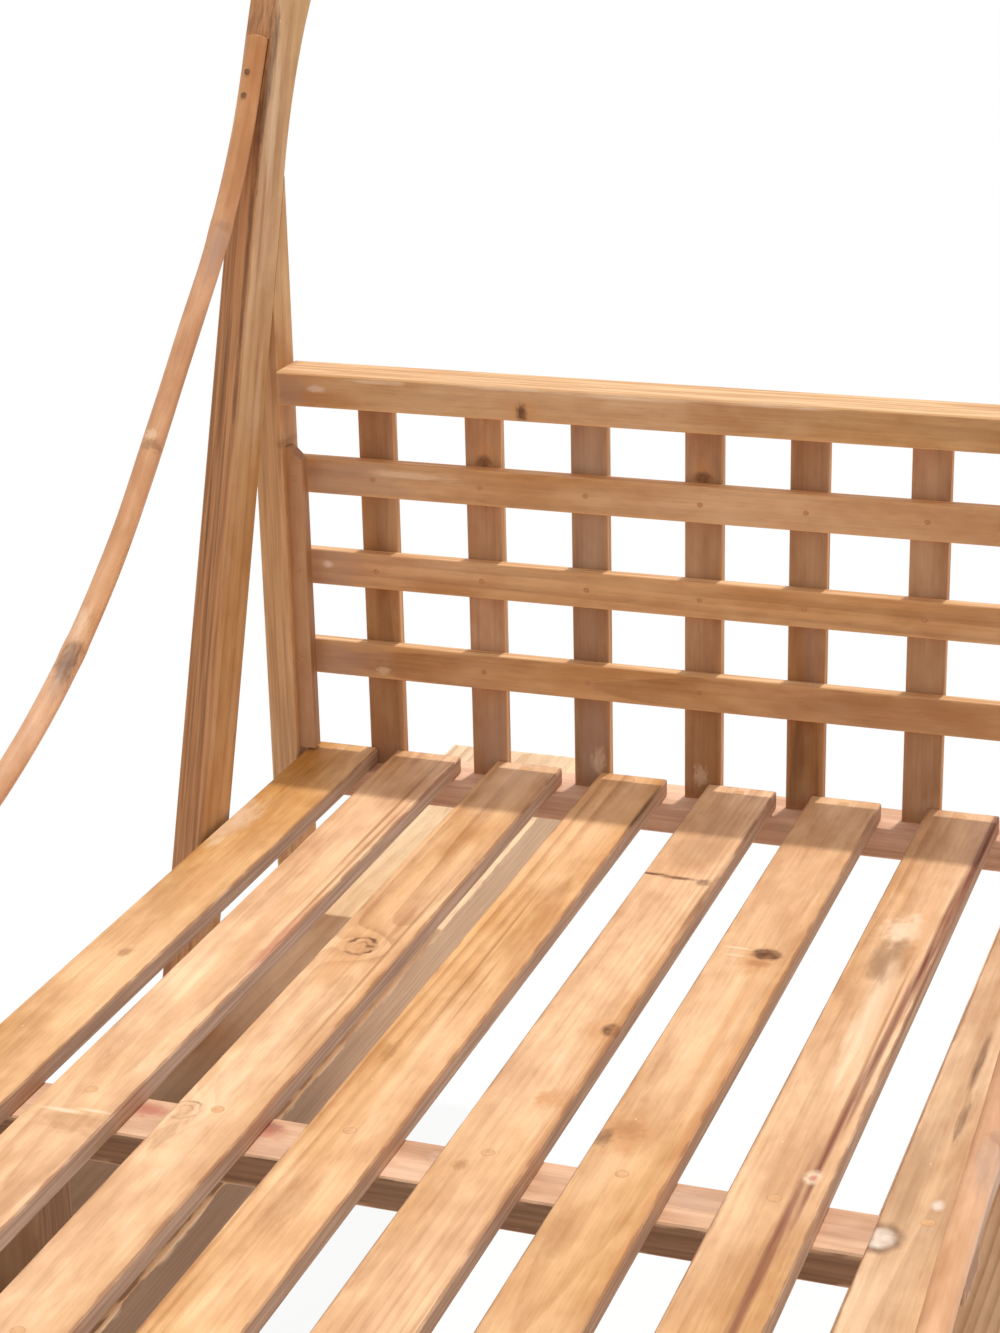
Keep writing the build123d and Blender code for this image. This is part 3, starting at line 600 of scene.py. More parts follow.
# marks are placed from the seat: x across it, y from the slats' back ends, and z above it
boardMarks = {
    "seat_slat_1": [
        stainAndShade("brown", (-0.257, -0.355), (0.008, 0.005), 0.75),
        stainAndShade("pale", (-0.277, -0.155), (0.05, 0.015), 0.6, 1.4),
        stainAndShade("brown", (-0.262, -0.09), (0.06, 0.006), 0.4),
        stainAndShade("orange", (-0.255, -0.25), (0.1, 0.012), 0.4),
        knot((-0.266, -0.62), 0.009, 0.3, 0.8),
    ],
    "seat_slat_2": [
        stainAndShade("brown", (-0.183, -0.11), (0.14, 0.002), 0.75, 0.3),
        stainAndShade("brown", (-0.177, -0.2), (0.16, 0.0018), 0.8, 0.3),
        stainAndShade("pink", (-0.175, -0.31), (0.07, 0.005), 0.5),
        stainAndShade("orange", (-0.192, -0.33), (0.16, 0.01), 0.4),
        stainAndShade("brown", (-0.19, -0.549), (0.015, 0.024), 0.5, 1.3),
        stainAndShade("pale", (-0.2, -0.539), (0.0026, 0.017), 0.85, 1.1),
        stainAndShade("pale", (-0.184, -0.535), (0.0022, 0.012), 0.75, 1.1),
    ],
    "seat_slat_3": [
        stainAndShade("orange", (-0.127, -0.33), (0.055, 0.017), 0.4),
        knot((-0.124, -0.306), 0.0105, 0.1, 1.0),
        stainAndShade("barkAndShadow", (-0.1185, -0.305), (0.0026, 0.004), 0.85, 0.6),
        stainAndShade("brown", (-0.112, -0.27), (0.04, 0.003), 0.5),
        stainAndShade("orange", (-0.096, -0.4), (0.3, 0.006), 0.45, 0.5),
        knot((-0.138, -0.519), 0.009, 0.25, 0.55),
        stainAndShade("brown", (-0.137, -0.545), (0.027, 0.009), 0.5, 1.3),
        stainAndShade("brown", (-0.1055, -0.33), (0.2, 0.0016), 0.7, 0.5),
        stainAndShade("pale", (-0.125, -0.04), (0.07, 0.022), 0.4, 1.0),
    ],
    "seat_slat_4": [
        stainAndShade("brown", (-0.047, -0.3), (0.15, 0.0014), 0.7, 0.3),
        stainAndShade("brown", (-0.038, -0.345), (0.06, 0.0012), 0.6, 0.3),
        stainAndShade("barkAndShadow", (-0.0225, -0.06), (0.06, 0.0018), 0.9, 0.5),
        stainAndShade("brown", (-0.058, -0.425), (0.015, 0.006), 0.6, 1.2),
        stainAndShade("brown", (-0.048, -0.59), (0.05, 0.012), 0.45, 1.2),
        stainAndShade("orange", (-0.05, -0.5), (0.09, 0.01), 0.35, 1.2),
        stainAndShade("orange", (-0.02, -0.4), (0.32, 0.006), 0.45, 0.5),
    ],
    "seat_slat_5": [
        stainAndShade("orange", (0.024, -0.138), (0.025, 0.026), 0.4),
        stainAndShade("grey", (0.03, -0.115), (0.036, 0.022), 0.45),
        stainAndShade("barkAndShadow", (0.0145, -0.1545), (0.0026, 0.0125), 1.0, 0.9),
        stainAndShade("barkAndShadow", (0.031, -0.1565), (0.003, 0.0145), 0.95, 0.9),
        stainAndShade("dark", (0.048, -0.1585), (0.007, 0.006), 0.75),
        stainAndShade("dark", (0.0535, -0.2), (0.06, 0.0022), 0.8, 0.8),
        stainAndShade("orange", (0.046, -0.368), (0.02, 0.013), 0.6),
        stainAndShade("barkAndShadow", (0.052, -0.366), (0.0095, 0.0068), 1.0, 0.4, 0.5),
        stainAndShade("orange", (0.044, -0.451), (0.013, 0.011), 0.8, 1.3),
        stainAndShade("brown", (0.022, -0.53), (0.007, 0.005), 0.7, 0.8),
        stainAndShade("brown", (0.0535, -0.37), (0.25, 0.0014), 0.5, 0.5),
        stainAndShade("orange", (0.0555, -0.4), (0.3, 0.006), 0.45, 0.5),
    ],
    "seat_slat_6": [
        stainAndShade("orange", (0.108, -0.256), (0.024, 0.014), 0.85),
        stainAndShade("brown", (0.109, -0.26), (0.006, 0.009), 0.6, 0.8),
        stainAndShade("barkAndShadow", (0.111, -0.247), (0.0088, 0.0108), 1.0, 0.4, 0.6),
        stainAndShade("pale", (0.093, -0.243), (0.002, 0.011), 0.75, 0.8),
        stainAndShade("pale", (0.094, -0.253), (0.0018, 0.009), 0.65, 0.8),
        stainAndShade("orange", (0.094, -0.474), (0.028, 0.018), 0.75, 1.3),
        stainAndShade("dark", (0.083, -0.481), (0.012, 0.007), 0.7, 1.1),
        stainAndShade("brown", (0.094, -0.47), (0.012, 0.012), 0.5, 1.4),
        stainAndShade("orange", (0.112, -0.35), (0.12, 0.004), 0.6, 0.6),
        stainAndShade("brown", (0.09, -0.58), (0.03, 0.014), 0.4, 1.3),
        stainAndShade("orange", (0.1285, -0.42), (0.32, 0.009), 0.65, 0.5),
    ],
    "seat_slat_7": [
        stainAndShade("grey", (0.183, -0.233), (0.04, 0.0145), 1.0, 0.7, 0.6),
        stainAndShade("pale", (0.182, -0.19), (0.026, 0.017), 0.9, 1.6),
        stainAndShade("pale", (0.187, -0.3), (0.09, 0.011), 0.75, 1.4),
        stainAndShade("orange", (0.193, -0.25), (0.15, 0.01), 0.5),
        stainAndShade("red", (0.2052, -0.06), (0.15, 0.0034), 1.0, 0.5),
        stainAndShade("red", (0.2028, -0.2), (0.15, 0.004), 1.0, 0.5),
        stainAndShade("red", (0.2003, -0.34), (0.13, 0.0032), 0.95, 0.5),
        stainAndShade("red", (0.197, -0.45), (0.13, 0.0028), 0.9, 0.5),
        stainAndShade("red", (0.1925, -0.58), (0.14, 0.0042), 0.9, 0.5),
        stainAndShade("red", (0.2072, -0.25), (0.22, 0.0016), 0.85, 0.3),
        stainAndShade("brown", (0.1955, -0.34), (0.16, 0.0014), 0.7, 0.3),
        stainAndShade("pale", (0.196, -0.489), (0.009, 0.006), 0.9, 0.5),
        stainAndShade("pink", (0.1965, -0.4895), (0.004, 0.0032), 0.9, 0.3),
    ],
    "seat_slat_8": [
        stainAndShade("brown", (0.251, -0.3), (0.16, 0.009), 0.45),
        stainAndShade("grey", (0.244, -0.48), (0.09, 0.01), 0.6),
        stainAndShade("dark", (0.2545, -0.345), (0.045, 0.003), 0.8, 0.8),
        stainAndShade("dark", (0.257, -0.41), (0.03, 0.0034), 0.7),
        stainAndShade("dark", (0.240, -0.535), (0.0165, 0.0135), 0.85, 0.3, 0.6),
        stainAndShade("filler", (0.240, -0.535), (0.0115, 0.0092), 1.0, 0.2, 0.5),
        stainAndShade("filler", (0.261, -0.497), (0.007, 0.0046), 0.85, 0.4),
        knot((0.268, -0.69), 0.008, 0.3, 0.8),
    ],
    "top_rail": [
        stainAndShade("orange", (-0.111, -0.027, 0.26), (0.016, 0.011), 0.6),
        stainAndShade("barkAndShadow", (-0.113, -0.027, 0.2595), (0.0048, 0.0085), 1.0, 0.9),
        stainAndShade("filler", (-0.259, -0.027, 0.2665), (0.009, 0.0032), 0.7, 1.2),
        stainAndShade("mauve", (-0.278, -0.027, 0.263), (0.014, 0.015), 0.5),
        stainAndShade("pale", (-0.215, -0.027, 0.274), (0.026, 0.0024), 0.6, 1.4),
        stainAndShade("pale", (-0.12, -0.027, 0.275), (0.045, 0.0018), 0.7, 1.4),
        stainAndShade("pale", (-0.04, -0.027, 0.2745), (0.06, 0.002), 0.7, 1.4),
        stainAndShade("pale", (0.06, -0.027, 0.275), (0.05, 0.0018), 0.7, 1.4),
    ],
    "lattice_rail_1": [
        # painted shade: the right part of the rail's front face is darkened
        stainAndShade("brown", (0.13, -0.009, 0.067), (0.13, 0.024), 0.5, 0.8),
        stainAndShade("mauve", (-0.262, -0.009, 0.067), (0.045, 0.024), 0.6),
        stainAndShade("pale", (-0.225, -0.009, 0.062), (0.007, 0.004), 0.5),
    ],
    "lattice_rail_2": [
        stainAndShade("mauve", (-0.262, -0.009, 0.134), (0.03, 0.024), 0.5),
        stainAndShade("filler", (-0.264, -0.009, 0.137), (0.005, 0.0034), 0.8, 0.4),
    ],
    "lattice_rail_3": [
        stainAndShade("mauve", (-0.25, -0.009, 0.2), (0.06, 0.024), 0.5),
        stainAndShade("pale", (-0.2, -0.009, 0.205), (0.04, 0.0034), 0.5, 1.3),
    ],
    "lattice_upright_2": [
        stainAndShade("orange", (-0.150, 0, 0.222), (0.012, 0.009), 0.6),
        stainAndShade("barkAndShadow", (-0.150, 0, 0.2165), (0.006, 0.007), 0.85, 0.8),
        stainAndShade("mauve", (-0.148, 0, 0.015), (0.03, 0.012), 0.5),
    ],
    "lattice_upright_3": [
        stainAndShade("mauve", (-0.075, 0, 0.02), (0.045, 0.013), 0.6),
        stainAndShade("pale", (-0.071, 0, 0.008), (0.012, 0.006), 0.45, 1.5),
    ],
    "lattice_upright_4": [
        stainAndShade("orange", (0.003, 0, 0.22), (0.012, 0.01), 0.5),
        stainAndShade("barkAndShadow", (0.003, 0, 0.2165), (0.0055, 0.0085), 0.85, 0.6),
        stainAndShade("pale", (0.002, 0, 0.005), (0.01, 0.006), 0.4, 1.4),
    ],
    "lattice_upright_5": [
        stainAndShade("dark", (0.07, 0, 0.03), (0.04, 0.007), 0.4),
        stainAndShade("mauve", (0.078, 0, 0.1), (0.04, 0.01), 0.4),
    ],
    "middle_seat_rail": [
        stainAndShade("pink", (-0.166, -0.506, -0.012), (0.013, 0.01), 0.8),
        stainAndShade("red", (-0.096, -0.504, -0.012), (0.009, 0.007), 0.7),
        stainAndShade("pink", (-0.098, -0.508, -0.012), (0.017, 0.011), 0.7),
        stainAndShade("filler", (0.018, -0.506, -0.012), (0.022, 0.011), 0.65, 1.4),
        stainAndShade("pink", (0.116, -0.507, -0.012), (0.012, 0.01), 0.85),
        stainAndShade("red", (0.117, -0.509, -0.012), (0.006, 0.006), 0.6),
        stainAndShade("mauve", (0.14, -0.509, -0.012), (0.025, 0.012), 0.5),
    ],
    "left_side_post": [
        stainAndShade("barkAndShadow", (-0.2885, y, z), (0.026, 0.006, 0.005), 0.85, 1.1)  # weathered arris beside the rod, with the rod's shadow painted onto it
        for y, z in ((0.0, 0.495), (-0.0125, 0.472), (-0.0245, 0.45), (-0.035, 0.43), (-0.043, 0.41))
    ] + [
        # painted shadow of the rod along the post's front face, with weathered streaks
        stainAndShade("dark", (-0.291, y, z), (0.03, 0.006, 0.0024), 0.75, 0.9)
        for y, z in ((-0.0505, 0.385), (-0.059, 0.36), (-0.0675, 0.335), (-0.076, 0.31), (-0.088, 0.275))
    ] + [
        stainAndShade("dark", (x, y, z), (0.075, 0.006, 0.0011), 0.65, 0.6)  # open grain of the front face
        for x, y, z in (
            (-0.3, -0.084, 0.285), (-0.296, -0.104, 0.225), (-0.303, -0.116, 0.19),
            (-0.2985, -0.135, 0.135), (-0.294, -0.147, 0.1), (-0.302, -0.159, 0.065),
        )
    ] + [
        stainAndShade("brown", (-0.288, -0.03, 0.4), (0.09, 0.003), 0.6, 0.5),
        stainAndShade("pale", (-0.288, -0.012, 0.44), (0.06, 0.009), 0.45, 1.2),
        stainAndShade("brown", (-0.288, -0.05, 0.31), (0.07, 0.004), 0.4, 0.8),
        stainAndShade("pale", (-0.288, -0.06, 0.26), (0.05, 0.006), 0.3, 1.2),
    ],
    "left_back_post": [
        stainAndShade("dark", (-0.288, -0.024, 0.225), (0.004, 0.036), 0.4),
        stainAndShade("pale", (-0.288, -0.012, 0.06), (0.07, 0.014), 0.4, 1.4),
        stainAndShade("brown", (-0.288, -0.004, 0.14), (0.09, 0.003), 0.5, 0.6),
    ],
    "left_plank": [
        # painted shade: the plank's front part, which lies under the seat, is darkened
        stainAndShade("dark", (-0.23, -0.52, -0.155), (0.47, 0.14, 0.1), 0.65, 0.3, 0.55),
        knot((-0.24, 0.18, -0.136), 0.011, 0.3, 0.8),
        knot((-0.28, -0.6, -0.136), 0.009, 0.3, 0.8),
    ],
    "right_plank": [
        knot((0.27, 0.25, -0.136), 0.009, 0.3, 0.8),
        knot((0.23, 0.08, -0.136), 0.012, 0.25, 0.9),
    ],
}


def localMarks(name, centre, turn):
    inverse = turn.transposed()
    made = []
    for mark in boardMarks.get(name, []):
        placed = dict(mark, at=inverse @ (onSeat(*mark["at"]) - centre))
        if mark["kind"] != "knot":
            placed["reach"] = (*mark["reach"], finishSet["markDepth"])[:3]
        made.append(placed)
    return made


def dressBoard(name, look, grain, face, seed, arrisWearAndHighlight=0.45):
    low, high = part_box(name)
    centre = (low + high) / 2
    turn = boardTurn(grain, face)
    size = high - low
    half = tuple(abs(turn.col[i].dot(size)) / 2 for i in range(3)) if arrisWearAndHighlight else None
    tone = boardTones.get(name, (1.0, 1.0))
    marks = localMarks(name, centre, turn)
    material = woodMaterial(name + "_wood", woodLooks[look], seed, centre, turn, half, marks, tone=tone, arrisWearAndHighlight=arrisWearAndHighlight)
    dress(name, material)


rightWay, backWay, upWay, frontWay = (1, 0, 0), (0, 1, 0), (0, 0, 1), (0, -1, 0)
postLean = math.radians(19.1)
postWay = (0, math.sin(postLean), math.cos(postLean))
for number in range(1, 9):
    dressBoard(f"seat_slat_{number}", "seat", backWay, upWay, 10 + number, arrisWearAndHighlight=0.55)
for number, name in enumerate(("back_seat_rail", "middle_seat_rail", "front_seat_rail")):
    dressBoard(name, "middleRail" if number == 1 else "rail", rightWay, upWay, 30 + number)
for number in range(1, 8):
    dressBoard(f"lattice_upright_{number}", "upright", upWay, frontWay, 40 + number)
for number in range(1, 4):
    dressBoard(f"lattice_rail_{number}", "lattice", rightWay, frontWay, 50 + number)
dressBoard("top_rail", "lattice", rightWay, frontWay, 57)
for number, side in enumerate(("left", "right")):
    sign = 2 * number - 1
    dressBoard(side + "_lattice_cleat", "cleat", upWay, frontWay, 60 + number)
    dressBoard(side + "_side_post", "post", postWay, (-sign, 0, 0), 64 + number, arrisWearAndHighlight=0)
    dressBoard(side + "_back_post", "backPost", upWay, (-sign, 0, 0), 68 + number)
    dressBoard(side + "_front_post", "post", upWay, (-sign, 0, 0), 72 + number)
    # the planks' pale arrises: strong rubbed wear and a painted highlight
    dressBoard(side + "_plank", "plank", backWay, upWay, 76 + number, arrisWearAndHighlight=0.9)
    dressBoard(side + "_seat_leg", "leg", upWay, frontWay, 80 + number)
print("boards dressed")


# bent rods, rebuilt with the unevenness of a peeled stick

rodSet = {
    # y from the slats' back ends, and height above the seat
    "route": [(-0.0073, 0.4955), (-0.0579, 0.4004), (-0.3468, 0.1271), (-0.760, 0.0615)],
    "bends": (0.410, 0.520),
    "radius": 0.0075,
    "around": 20,
    "step": 0.007,
    "endRound": 0.0012,
    # rings of the stick, along it from the top, and scars as place, reach and strength
    "joints": {"left": (0.135, 0.45, 0.79), "right": (0.21, 0.52, 0.74)},
    "scars": {
        "left": ((0.3, 0.005, 0.5), (0.462, 0.02, 0.75)),
        "right": ((0.36, 0.006, 0.5), (0.53, 0.016, 0.6)),
    },
    "swell": 0.0004,
    "swellReach": 0.007,
    "uneven": 0.0007,
    "lumps": (16, 160),  # in a metre, along the rod and across it
    "sway": 0.0014,
    "swayStep": 5,
    "nailedTop": 0.12,  # no sway where the rod is nailed on
    "nailedFoot": 0.06,
    "easing": 0.1,
}


def rodRuns(points, bends):
    runs = []
    start = points[0]
    for before, corner, after, bend in zip(points, points[1:], points[2:], bends):
        way, leaving = (corner - before).normalized(), (after - corner).normalized()
        angle = way.angle(leaving)
        reach = bend * math.tan(angle / 2)
        enter = corner - way * reach
        inward = (leaving - way * way.dot(leaving)).normalized()
        runs.append(("straight", start, enter))
        runs.append(("bend", enter + inward * bend, way.cross(leaving).normalized(), angle, bend))
        start = corner + leaving * reach
    return runs + [("straight", start, points[-1])]


def buildRod(side, sign, look):
    points = [Vector((sign * sideMid, seatBack + y, seatTop + z)) for y, z in look["route"]]
    bm = bmesh.new()
    way = (points[1] - points[0]).normalized()
    place = Matrix.Translation(points[0]) @ way.to_track_quat("Z", "X").to_matrix().to_4x4()
    bmesh.ops.create_circle(bm, segments=look["around"], radius=look["radius"], matrix=place)
    firstRing = rim = bm.edges[:]
    line = [(0.0, points[0], way)]
    for run in rodRuns(points, look["bends"]):
        if run[0] == "straight":
            reach = run[2] - run[1]
            steps = max(1, round(reach.length / look["step"]))
            way = reach.normalized()
            for _ in range(steps):
                ring, rim = nextRing(bm, rim)
                bmesh.ops.translate(bm, verts=ring, vec=reach / steps)
                line.append((line[-1][0] + reach.length / steps, line[-1][1] + reach / steps, way))
        else:
            centre, axis, angle, bend = run[1:]
            steps = max(1, round(bend * angle / look["step"]))
            made = bmesh.ops.spin(bm, geom=rim, cent=centre, axis=axis, angle=angle, steps=steps)["geom_last"]
            rim = edgesOf(made)
            turn = Matrix.Rotation(angle / steps, 3, axis)
            for _ in range(steps):
                along, at, way = line[-1]
                line.append((along + bend * angle / steps, centre + turn @ (at - centre), turn @ way))
    for ring in (firstRing, rim):
        bmesh.ops.edgeloop_fill(bm, edges=ring)
    bmesh.ops.recalc_face_normals(bm, faces=bm.faces)
    ends = [edge for edge in bm.edges if any(len(face.verts) > 4 for face in edge.link_faces)]
    bmesh.ops.bevel(bm, geom=ends, offset=look["endRound"], offset_type="OFFSET", segments=2, profile=0.5,
                    affect="EDGES", material=-1)
    total = line[-1][0]
    coords = []
    for vert in bm.verts:
        along, at, way = min(line, key=lambda item: (item[1] - vert.co).length_squared)
        normal = Vector((1, 0, 0)).cross(way)
        out = vert.co - at
        along += out.dot(way)
        y, z = out.x, out.dot(normal)
        coords.append((along, y, z))
        lengthwise, across = look["lumps"]
        lump = Vector((along * lengthwise, y * across + sign * 5, z * across))
        grow = -look["uneven"] * (0.5 + 0.5 * noise.noise(lump))
        for ring in look["joints"][side]:
            gap = (along - ring) / look["swellReach"]
            grow += look["swell"] * math.exp(-gap * gap)
        belowTop = max(0.0, along - look["nailedTop"]) / look["easing"]
        aboveFoot = max(0.0, total - look["nailedFoot"] - along) / look["easing"]
        free = min(1.0, belowTop, aboveFoot)
        waves = along * look["swayStep"]
        sway = Vector((noise.noise(Vector((waves, sign * 3.0, 1))), 0, 0))
        sway += normal * noise.noise(Vector((waves, sign * 3.0, 9)))
        radial = Vector((y, 0, 0)) + normal * z
        if radial.length > 1e-6:
            vert.co += radial.normalized() * grow + sway * look["sway"] * free
    rod = linkMesh(bm, side + "_rod", side + "_bent_rod")
    mesh = rod.data
    run = mesh.attributes.new("rodRun", "FLOAT_VECTOR", "POINT")
    run.data.foreach_set("vector", [number for spot in coords for number in spot])
    for face in mesh.polygons:
        face.use_smooth = True
    marks = []
    for ring in look["joints"][side]:  # scars of side twigs, on the side that faces the seat
        marks.append(stainAndShade("brown", (ring, 0.005, -0.005), (0.005, 0.008, 0.008), 0.6, 1.1))
        marks.append(stainAndShade("mauve", (ring + 0.018, 0.004, -0.006), (0.028, 0.009, 0.009), 0.6, 1.3))
    for at, reach, strength in look["scars"][side]:
        marks.append(stainAndShade("dark", (at, 0.003, -0.006), (reach, 0.009, 0.009), strength, 1.5))
        marks.append(stainAndShade("pale", (at - 1.4 * reach, 0.0, -0.0075), (reach, 0.006, 0.006), 0.45, 1.5))
    still = Matrix.Identity(3)
    wood = woodMaterial(side + "_rod_wood", woodLooks["rod"], 90 + sign, Vector(), still, None, marks, "rodRun")
    mesh.materials.append(wood)
    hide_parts(side + "_arm_rod")
    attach(rod, "swing")
    return rod


for side, sign in (("left", -1), ("right", 1)):
    rod = buildRod(side, sign, rodSet)
    print("rod built:", rod.name, len(rod.data.polygons), "faces")


# fillers, nails and metal

metalLooks = {
    "galvanised": {
        "light": tint(196, 198, 198), "dark": tint(150, 152, 154),
        "rough": 0.38, "metal": 1.0, "rust": 0.12,
    },
    "plated": {
        "light": tint(206, 202, 190), "dark": tint(160, 154, 140),
        "rough": 0.3, "metal": 1.0, "rust": 0.05,
    },
    "rusty": {
        "light": tint(150, 104, 72), "dark": tint(96, 64, 44),
        "rough": 0.7, "metal": 0.35, "rust": 0.5,
    },
    "putty": {
        "light": tint(232, 182, 132), "dark": tint(204, 150, 102),
        "rough": 0.78, "metal": 0.0, "rust": 0.0,
    },
    "darkPutty": {
        "light": tint(206, 150, 102), "dark": tint(178, 122, 80),
        "rough": 0.78, "metal": 0.0, "rust": 0.0,
    },
}
metalSet = {
    "spangle": 320.0,
    "cloud": (90, 90, 90),
    "rustCloud": (140, 140, 140),
    "rustColour": tint(122, 74, 44),
    "smoother": 0.08,
    "rougher": 0.14,
    "bump": 0.15,
    "bumpDepth": 0.0004,
}


def metalMaterial(name, look):
    material = bpy.data.materials.new(name)
    material.use_nodes = True
    tree = material.node_tree
    shader = tree.nodes["Principled BSDF"]
    spot = tree.nodes.new("ShaderNodeTexCoord").outputs["Object"]
    cells = tree.nodes.new("ShaderNodeTexVoronoi")
    cells.inputs["Scale"].default_value = metalSet["spangle"]
    tree.links.new(spot, cells.inputs["Vector"])
    spangle = split(tree, cells.outputs["Color"])[0]
    cloud = grainNoise(tree, spot, metalSet["cloud"], 3)
    mixed = calc(tree, "MULTIPLY_ADD", spangle, 0.5, calc(tree, "MULTIPLY", cloud, 0.5))
    colour = blendColour(tree, mixed, look["light"], look["dark"])
    rust = softStep(tree, grainNoise(tree, spot, metalSet["rustCloud"], 4, (3, 1, 7)), 0.55, 0.75)
    colour = blendColour(tree, calc(tree, "MULTIPLY", rust, look["rust"]), colour, metalSet["rustColour"])
    plug(tree, colour, shader.inputs["Base Color"])
    shader.inputs["Metallic"].default_value = look["metal"]
    smooth, rough = look["rough"] - metalSet["smoother"], look["rough"] + metalSet["rougher"]
    plug(tree, softStep(tree, cloud, 0.2, 0.8, smooth, rough), shader.inputs["Roughness"])
    bump = tree.nodes.new("ShaderNodeBump")
    bump.inputs["Strength"].default_value = metalSet["bump"]
    bump.inputs["Distance"].default_value = metalSet["bumpDepth"]
    plug(tree, cloud, bump.inputs["Height"])
    tree.links.new(bump.outputs[0], shader.inputs["Normal"])
    return material


metals = {name: metalMaterial(name, look) for name, look in metalLooks.items()}
metalNodes = {
    "putty": ["slat_screws"],
    "darkPutty": ["lattice_nails", "cleat_nails"],
    "rusty": ["rod_nails"],
    "plated": ["frame_screws", "foot_screws", "brace_screws", "leg_screws", "eye_bolt_nuts",
               "eye_bolt_washers"],
    "galvanised": [],
}
for side in ("left", "right"):
    metalNodes["plated"] += [side + part for part in ("_front_eye_bolt", "_back_eye_bolt")]
    hanging = ("_front_chain", "_back_chain", "_hanging_ring", "_ceiling_hook")
    metalNodes["galvanised"] += [side + part for part in hanging]
for finish, names in metalNodes.items():
    for name in names:
        dress(name, metals[finish])
print("metal dressed")


# screw heads with a cross recess, where a screw shows

screwSets = {  # the axis that the heads face along, and which way
    "frame_screws": {"axis": 0, "ways": (-1, 1), "head": 0.005, "shank": 0.0025, "length": 0.040},
    "foot_screws": {"axis": 2, "ways": (-1,), "head": 0.006, "shank": 0.003, "length": 0.086},
    "brace_screws": {"axis": 1, "ways": (1,), "head": 0.005, "shank": 0.0025, "length": 0.046},
}
headSet = {  # shares of the head's radius, and of the screw's length
    "cell": 0.2,
    "recess": 0.45,
    "draft": 0.55,
    "sink": 0.45,
    "pointFrom": 0.88,
    "tip": 0.0004,
    "twist": 0.7,  # no two recesses stand alike
    "level": 1e-4,  # corners this near the highest one are on a head's rim
    "apart": 0.02,
}


def headCentres(node, axis, way):
    spots = [vert.co for vert in nodes[node].data.vertices]
    level = max(way * spot[axis] for spot in spots)
    rings = []
    for spot in spots:
        if way * spot[axis] > level - headSet["level"]:
            near = [ring for ring in rings if (ring[0] - spot).length < headSet["apart"]]
            if near:
                near[0].append(spot)
            else:
                rings.append([spot])
    corners = [[Vector([pick(c) for c in zip(*ring)]) for pick in (min, max)] for ring in rings]
    return [(low + high) / 2 for low, high in corners]


def screwShape(bm, look):
    head = look["head"]
    cell = head * headSet["cell"]
    bmesh.ops.create_grid(bm, x_segments=6, y_segments=6, size=3 * cell)
    square = [edge for edge in bm.edges if edge.is_boundary]
    cross = []
    for face in bm.faces:
        x, y = (abs(c) for c in face.calc_center_median().xy)
        if min(x, y) < cell and max(x, y) < 2 * cell:
            cross.append(face)
    sunk = vertsOf(bmesh.ops.extrude_face_region(bm, geom=cross)["geom"])
    bmesh.ops.delete(bm, geom=cross, context="FACES")
    bmesh.ops.translate(bm, verts=sunk, vec=(0, 0, -headSet["recess"] * head))
    bmesh.ops.scale(bm, verts=sunk, vec=(headSet["draft"], headSet["draft"], 1))
    ring, rim = nextRing(bm, square)
    for vert in ring:  # the square goes out to a round rim
        vert.co = vert.co.normalized() * head
    rings = (
        (headSet["sink"] * head, look["shank"]),
        (headSet["pointFrom"] * look["length"], look["shank"]),
        (look["length"], headSet["tip"]),
    )
    for depth, radius in rings:
        ring, rim = nextRing(bm, rim)
        size = ring[0].co.xy.length
        bmesh.ops.scale(bm, verts=ring, vec=(radius / size, radius / size, 1))
        bmesh.ops.translate(bm, verts=ring, vec=(0, 0, -depth - ring[0].co.z))
    bmesh.ops.edgeloop_fill(bm, edges=rim)
    bmesh.ops.recalc_face_normals(bm, faces=bm.faces)


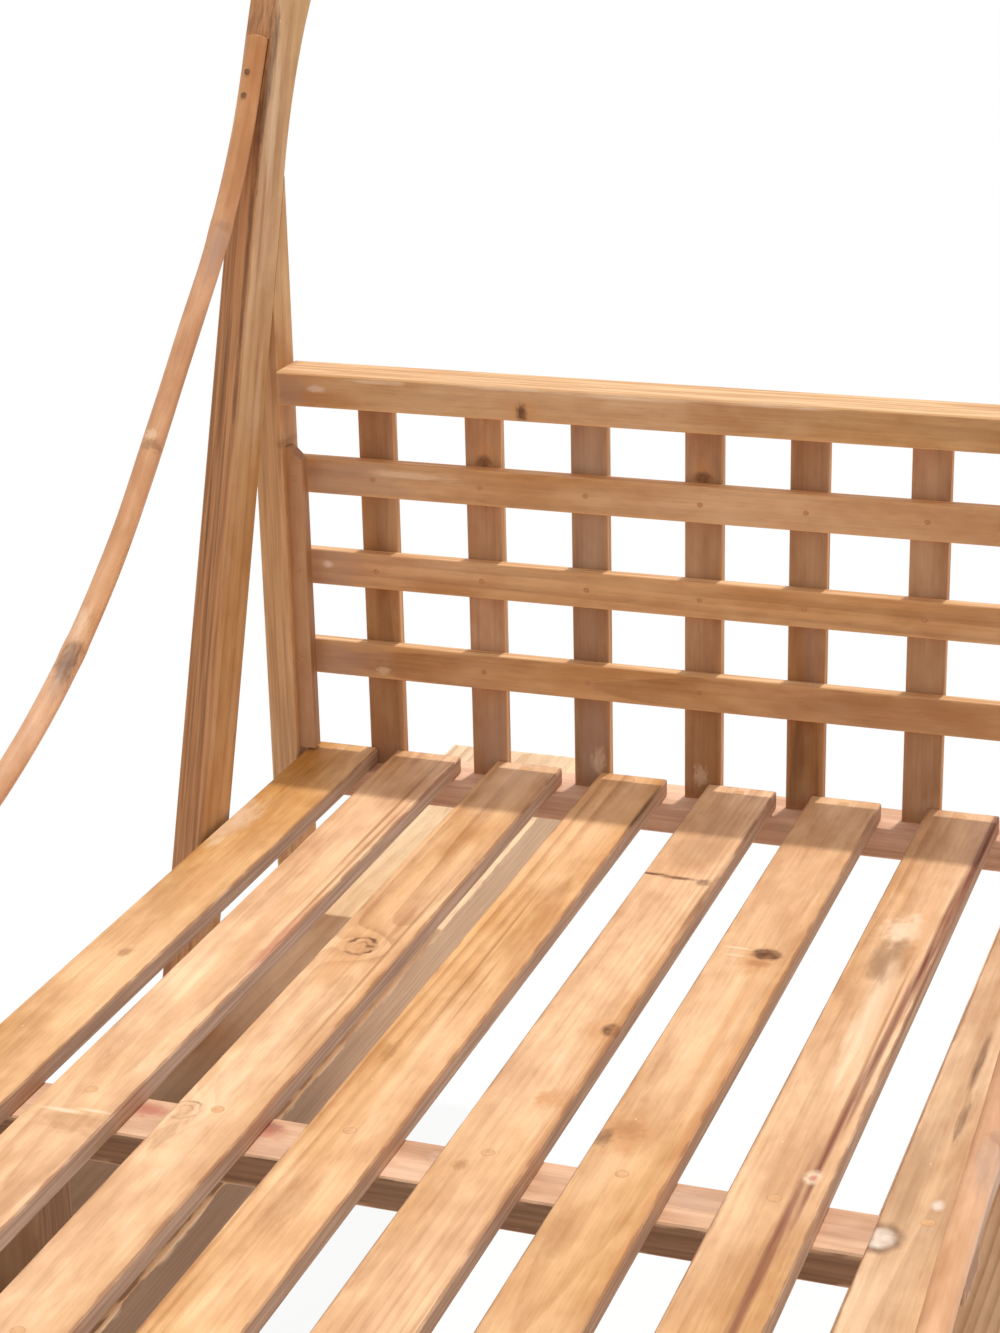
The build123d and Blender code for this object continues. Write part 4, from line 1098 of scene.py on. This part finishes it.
def buildScrews(node, look):
    bm = bmesh.new()
    screwShape(bm, look)
    pattern = bm.verts[:] + bm.edges[:] + bm.faces[:]
    for way in look["ways"]:
        outward = Vector([way if axis == look["axis"] else 0 for axis in range(3)])
        for number, centre in enumerate(headCentres(node, look["axis"], way)):
            twist = Matrix.Rotation(headSet["twist"] * number, 4, "Z")
            turn = outward.to_track_quat("Z", "Y").to_matrix().to_4x4()
            place = Matrix.Translation(centre) @ turn @ twist
            copy = vertsOf(bmesh.ops.duplicate(bm, geom=pattern)["geom"])
            bmesh.ops.transform(bm, matrix=place, verts=copy)
    bmesh.ops.delete(bm, geom=vertsOf(pattern), context="VERTS")
    piece = linkMesh(bm, node + "_cross", node + "_cross")
    piece.data.materials.append(metals["plated"])
    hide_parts(node)
    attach(piece, "swing")
    return piece


for node, look in screwSets.items():
    piece = buildScrews(node, look)
    print("screws built:", piece.name, len(piece.data.polygons), "faces")


# threads on the ceiling hooks' shanks

threadSet = {
    "shank": 0.005,
    "root": -0.0004,  # from the shank's surface
    "crest": 0.0009,
    "half": 0.0011,
    "pitch": 0.004,
    "low": 0.060,
    "high": 0.112,
    "perTurn": 20,
}


def buildThread(side, look):
    low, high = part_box(side + "_ceiling_hook")
    x = (low.x + high.x) / 2
    bm = bmesh.new()
    profile = ((look["root"], -look["half"]), (look["crest"], 0), (look["root"], look["half"]))
    corners = [bm.verts.new((x + look["shank"] + out, 0, look["low"] + rise)) for out, rise in profile]
    start = [bm.edges.new((corners[i], corners[i - 1])) for i in range(3)]
    turns = (look["high"] - look["low"]) / look["pitch"]
    steps = round(turns * look["perTurn"])
    rise = Vector((0, 0, (look["high"] - look["low"]) / steps))
    last = bmesh.ops.spin(bm, geom=corners + start, cent=(x, 0, 0), axis=(0, 0, 1), dvec=rise,
                          angle=2 * math.pi * turns, steps=steps)["geom_last"]
    for end in (start, edgesOf(last)):
        bmesh.ops.edgeloop_fill(bm, edges=end)
    bmesh.ops.recalc_face_normals(bm, faces=bm.faces)
    piece = linkMesh(bm, side + "_thread", side + "_hook_thread")
    for face in piece.data.polygons:
        face.use_smooth = len(face.vertices) == 4
    piece.data.materials.append(metals["galvanised"])
    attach(piece, "ceiling_hooks")
    return piece


for side in ("left", "right"):
    piece = buildThread(side, threadSet)
    print("thread built:", piece.name, len(piece.data.polygons), "faces")
